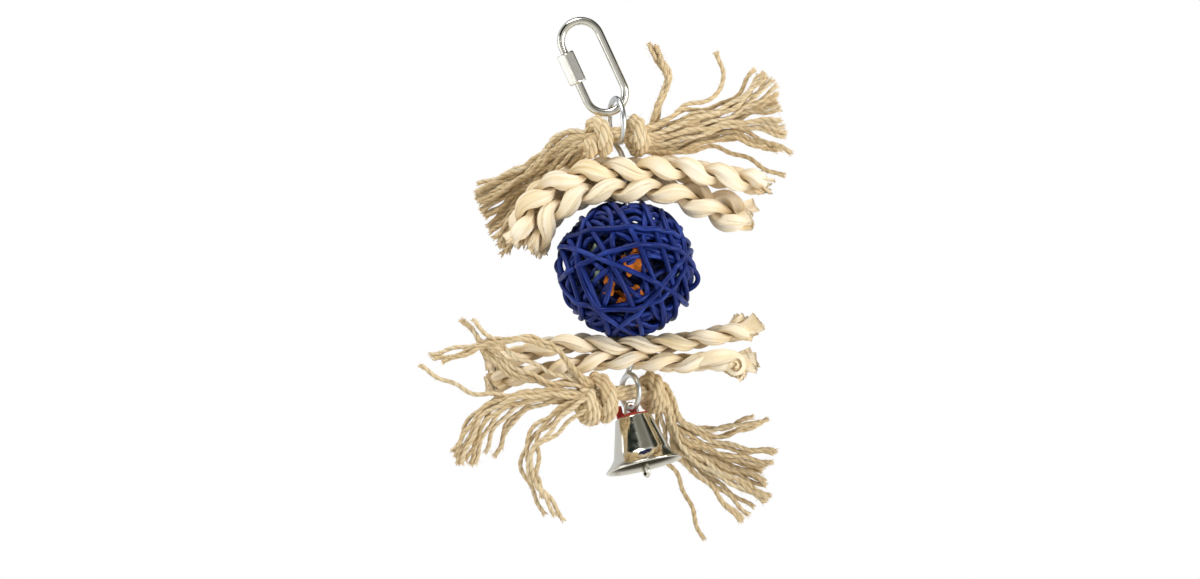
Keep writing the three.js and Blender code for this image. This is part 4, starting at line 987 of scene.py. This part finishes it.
staple_radius, half_span = 0.65, 2.7
clapper_radius, clapper_half = 0.7, 1.5
staple_top = wire_radius + staple_radius + 0.45
bar_height = crown_top - wall - 2 * clapper_radius - 0.6 - staple_radius
half_staple = np.array([[0.3, 0, bar_height], [half_span - 0.91, 0, bar_height],
                        [half_span - 0.27, 0, bar_height + 0.27], [half_span, 0, bar_height + 0.91],
                        [half_span, 0, crown_top + 0.6], [0.75 * half_span, 0, staple_top - 1.5],
                        [0.4 * half_span, 0, staple_top - 0.3]])
staple_line = smooth_line(np.vstack([half_staple, [[0, 0, staple_top]], half_staple[::-1] * [-1, 1, 1]]))
staple_line = on_bell(spaced(staple_line, 0.25))
staple = tube(staple_line, bell_turn[:, 1], round_section(staple_radius, 14), ends=0.15)
piece("bell_hanger", [staple], nickel, "bell", ["bell_staple"])

# Clapper: a narrow link bent from thin steel wire and nickel-plated. It hangs on the staple's bar inside the
# cup, and its foot shows under the mouth.
clapper_high = bar_height + staple_radius + 0.3 + clapper_radius - clapper_half
clapper_low = mouth_edge - 4.4 + clapper_radius + clapper_half
clapper_line = smooth_line(np.vstack([
    [[0, clapper_half, clapper_high - 1]],
    arc((0, 0, clapper_high), (0, 1, 0), (0, 0, 1), clapper_half, 10, 180, 9),
    arc((0, 0, clapper_low), (0, 1, 0), (0, 0, 1), clapper_half, 180, 360, 9),
    [[0, clapper_half, clapper_high - 1.6]]]))
clapper_line = on_bell(spaced(clapper_line, 0.25))
clapper = tube(clapper_line, bell_turn[:, 0], round_section(clapper_radius, 14), ends=0.15)
piece("bell_tongue", [clapper], nickel, "clapper", ["bell_clapper"])

# Washer: a strip of red vulcanised fibre on the crown, pierced by the staple and bent up behind it. Its solid
# has the real shape, so it stays and gets its finish here: matt, and mottled at about 1.1 mm.
fibre, tree, shader = finish_of("red_vulcanised_fibre", Roughness=0.75, Specular_IOR_Level=0.3)
spot = add_node(tree, "TexCoord", {}, {}, "Object")
mottle = add_node(tree, "TexNoise", {"Scale": 900.0, "Detail": 5.0}, {"Vector": spot})
reds = {"data_type": "RGBA", 6: linear("#A83226"), 7: linear("#D0574A")}
tint = add_node(tree, "Mix", reds, {0: mottle}, 2)
raised = add_node(tree, "Bump", {"Strength": 0.4, "Distance": 0.0002}, {"Height": mottle})
feed(shader, {"Base Color": tint, "Normal": raised})
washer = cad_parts["bell_washer"]
washer.data.materials.clear()
washer.data.materials.append(fibre)

# Floor: a plain round board under the toy, 1.2 m across and painted a pale matt white. It is too small and
# too low to show in the front view.
turn = ring_of(96)
rings = np.array([0.01, 0.3, 0.5, 0.59, 0.6, 0.6, 0.59, 0.01])[:, None]
depths = np.array([-0.236, -0.236, -0.236, -0.236, -0.237, -0.247, -0.248, -0.248])[:, None]
board = np.stack([rings * np.cos(turn) + 0.016, rings * np.sin(turn), np.repeat(depths, len(turn), 1)], -1)
board = {"grid": board * 1000 - ball_place, "along": np.arange(8.0), "around": np.arange(97.0)}
pale = finish_of("pale_matt_board", Base_Color=linear("#F2F1EE"), Roughness=0.9, Specular_IOR_Level=0.2)[0]
floor = bpy.data.objects.new("floor", mesh_of("floor", [board]))
floor.data.materials.append(pale)
bpy.context.scene.collection.objects.link(floor)
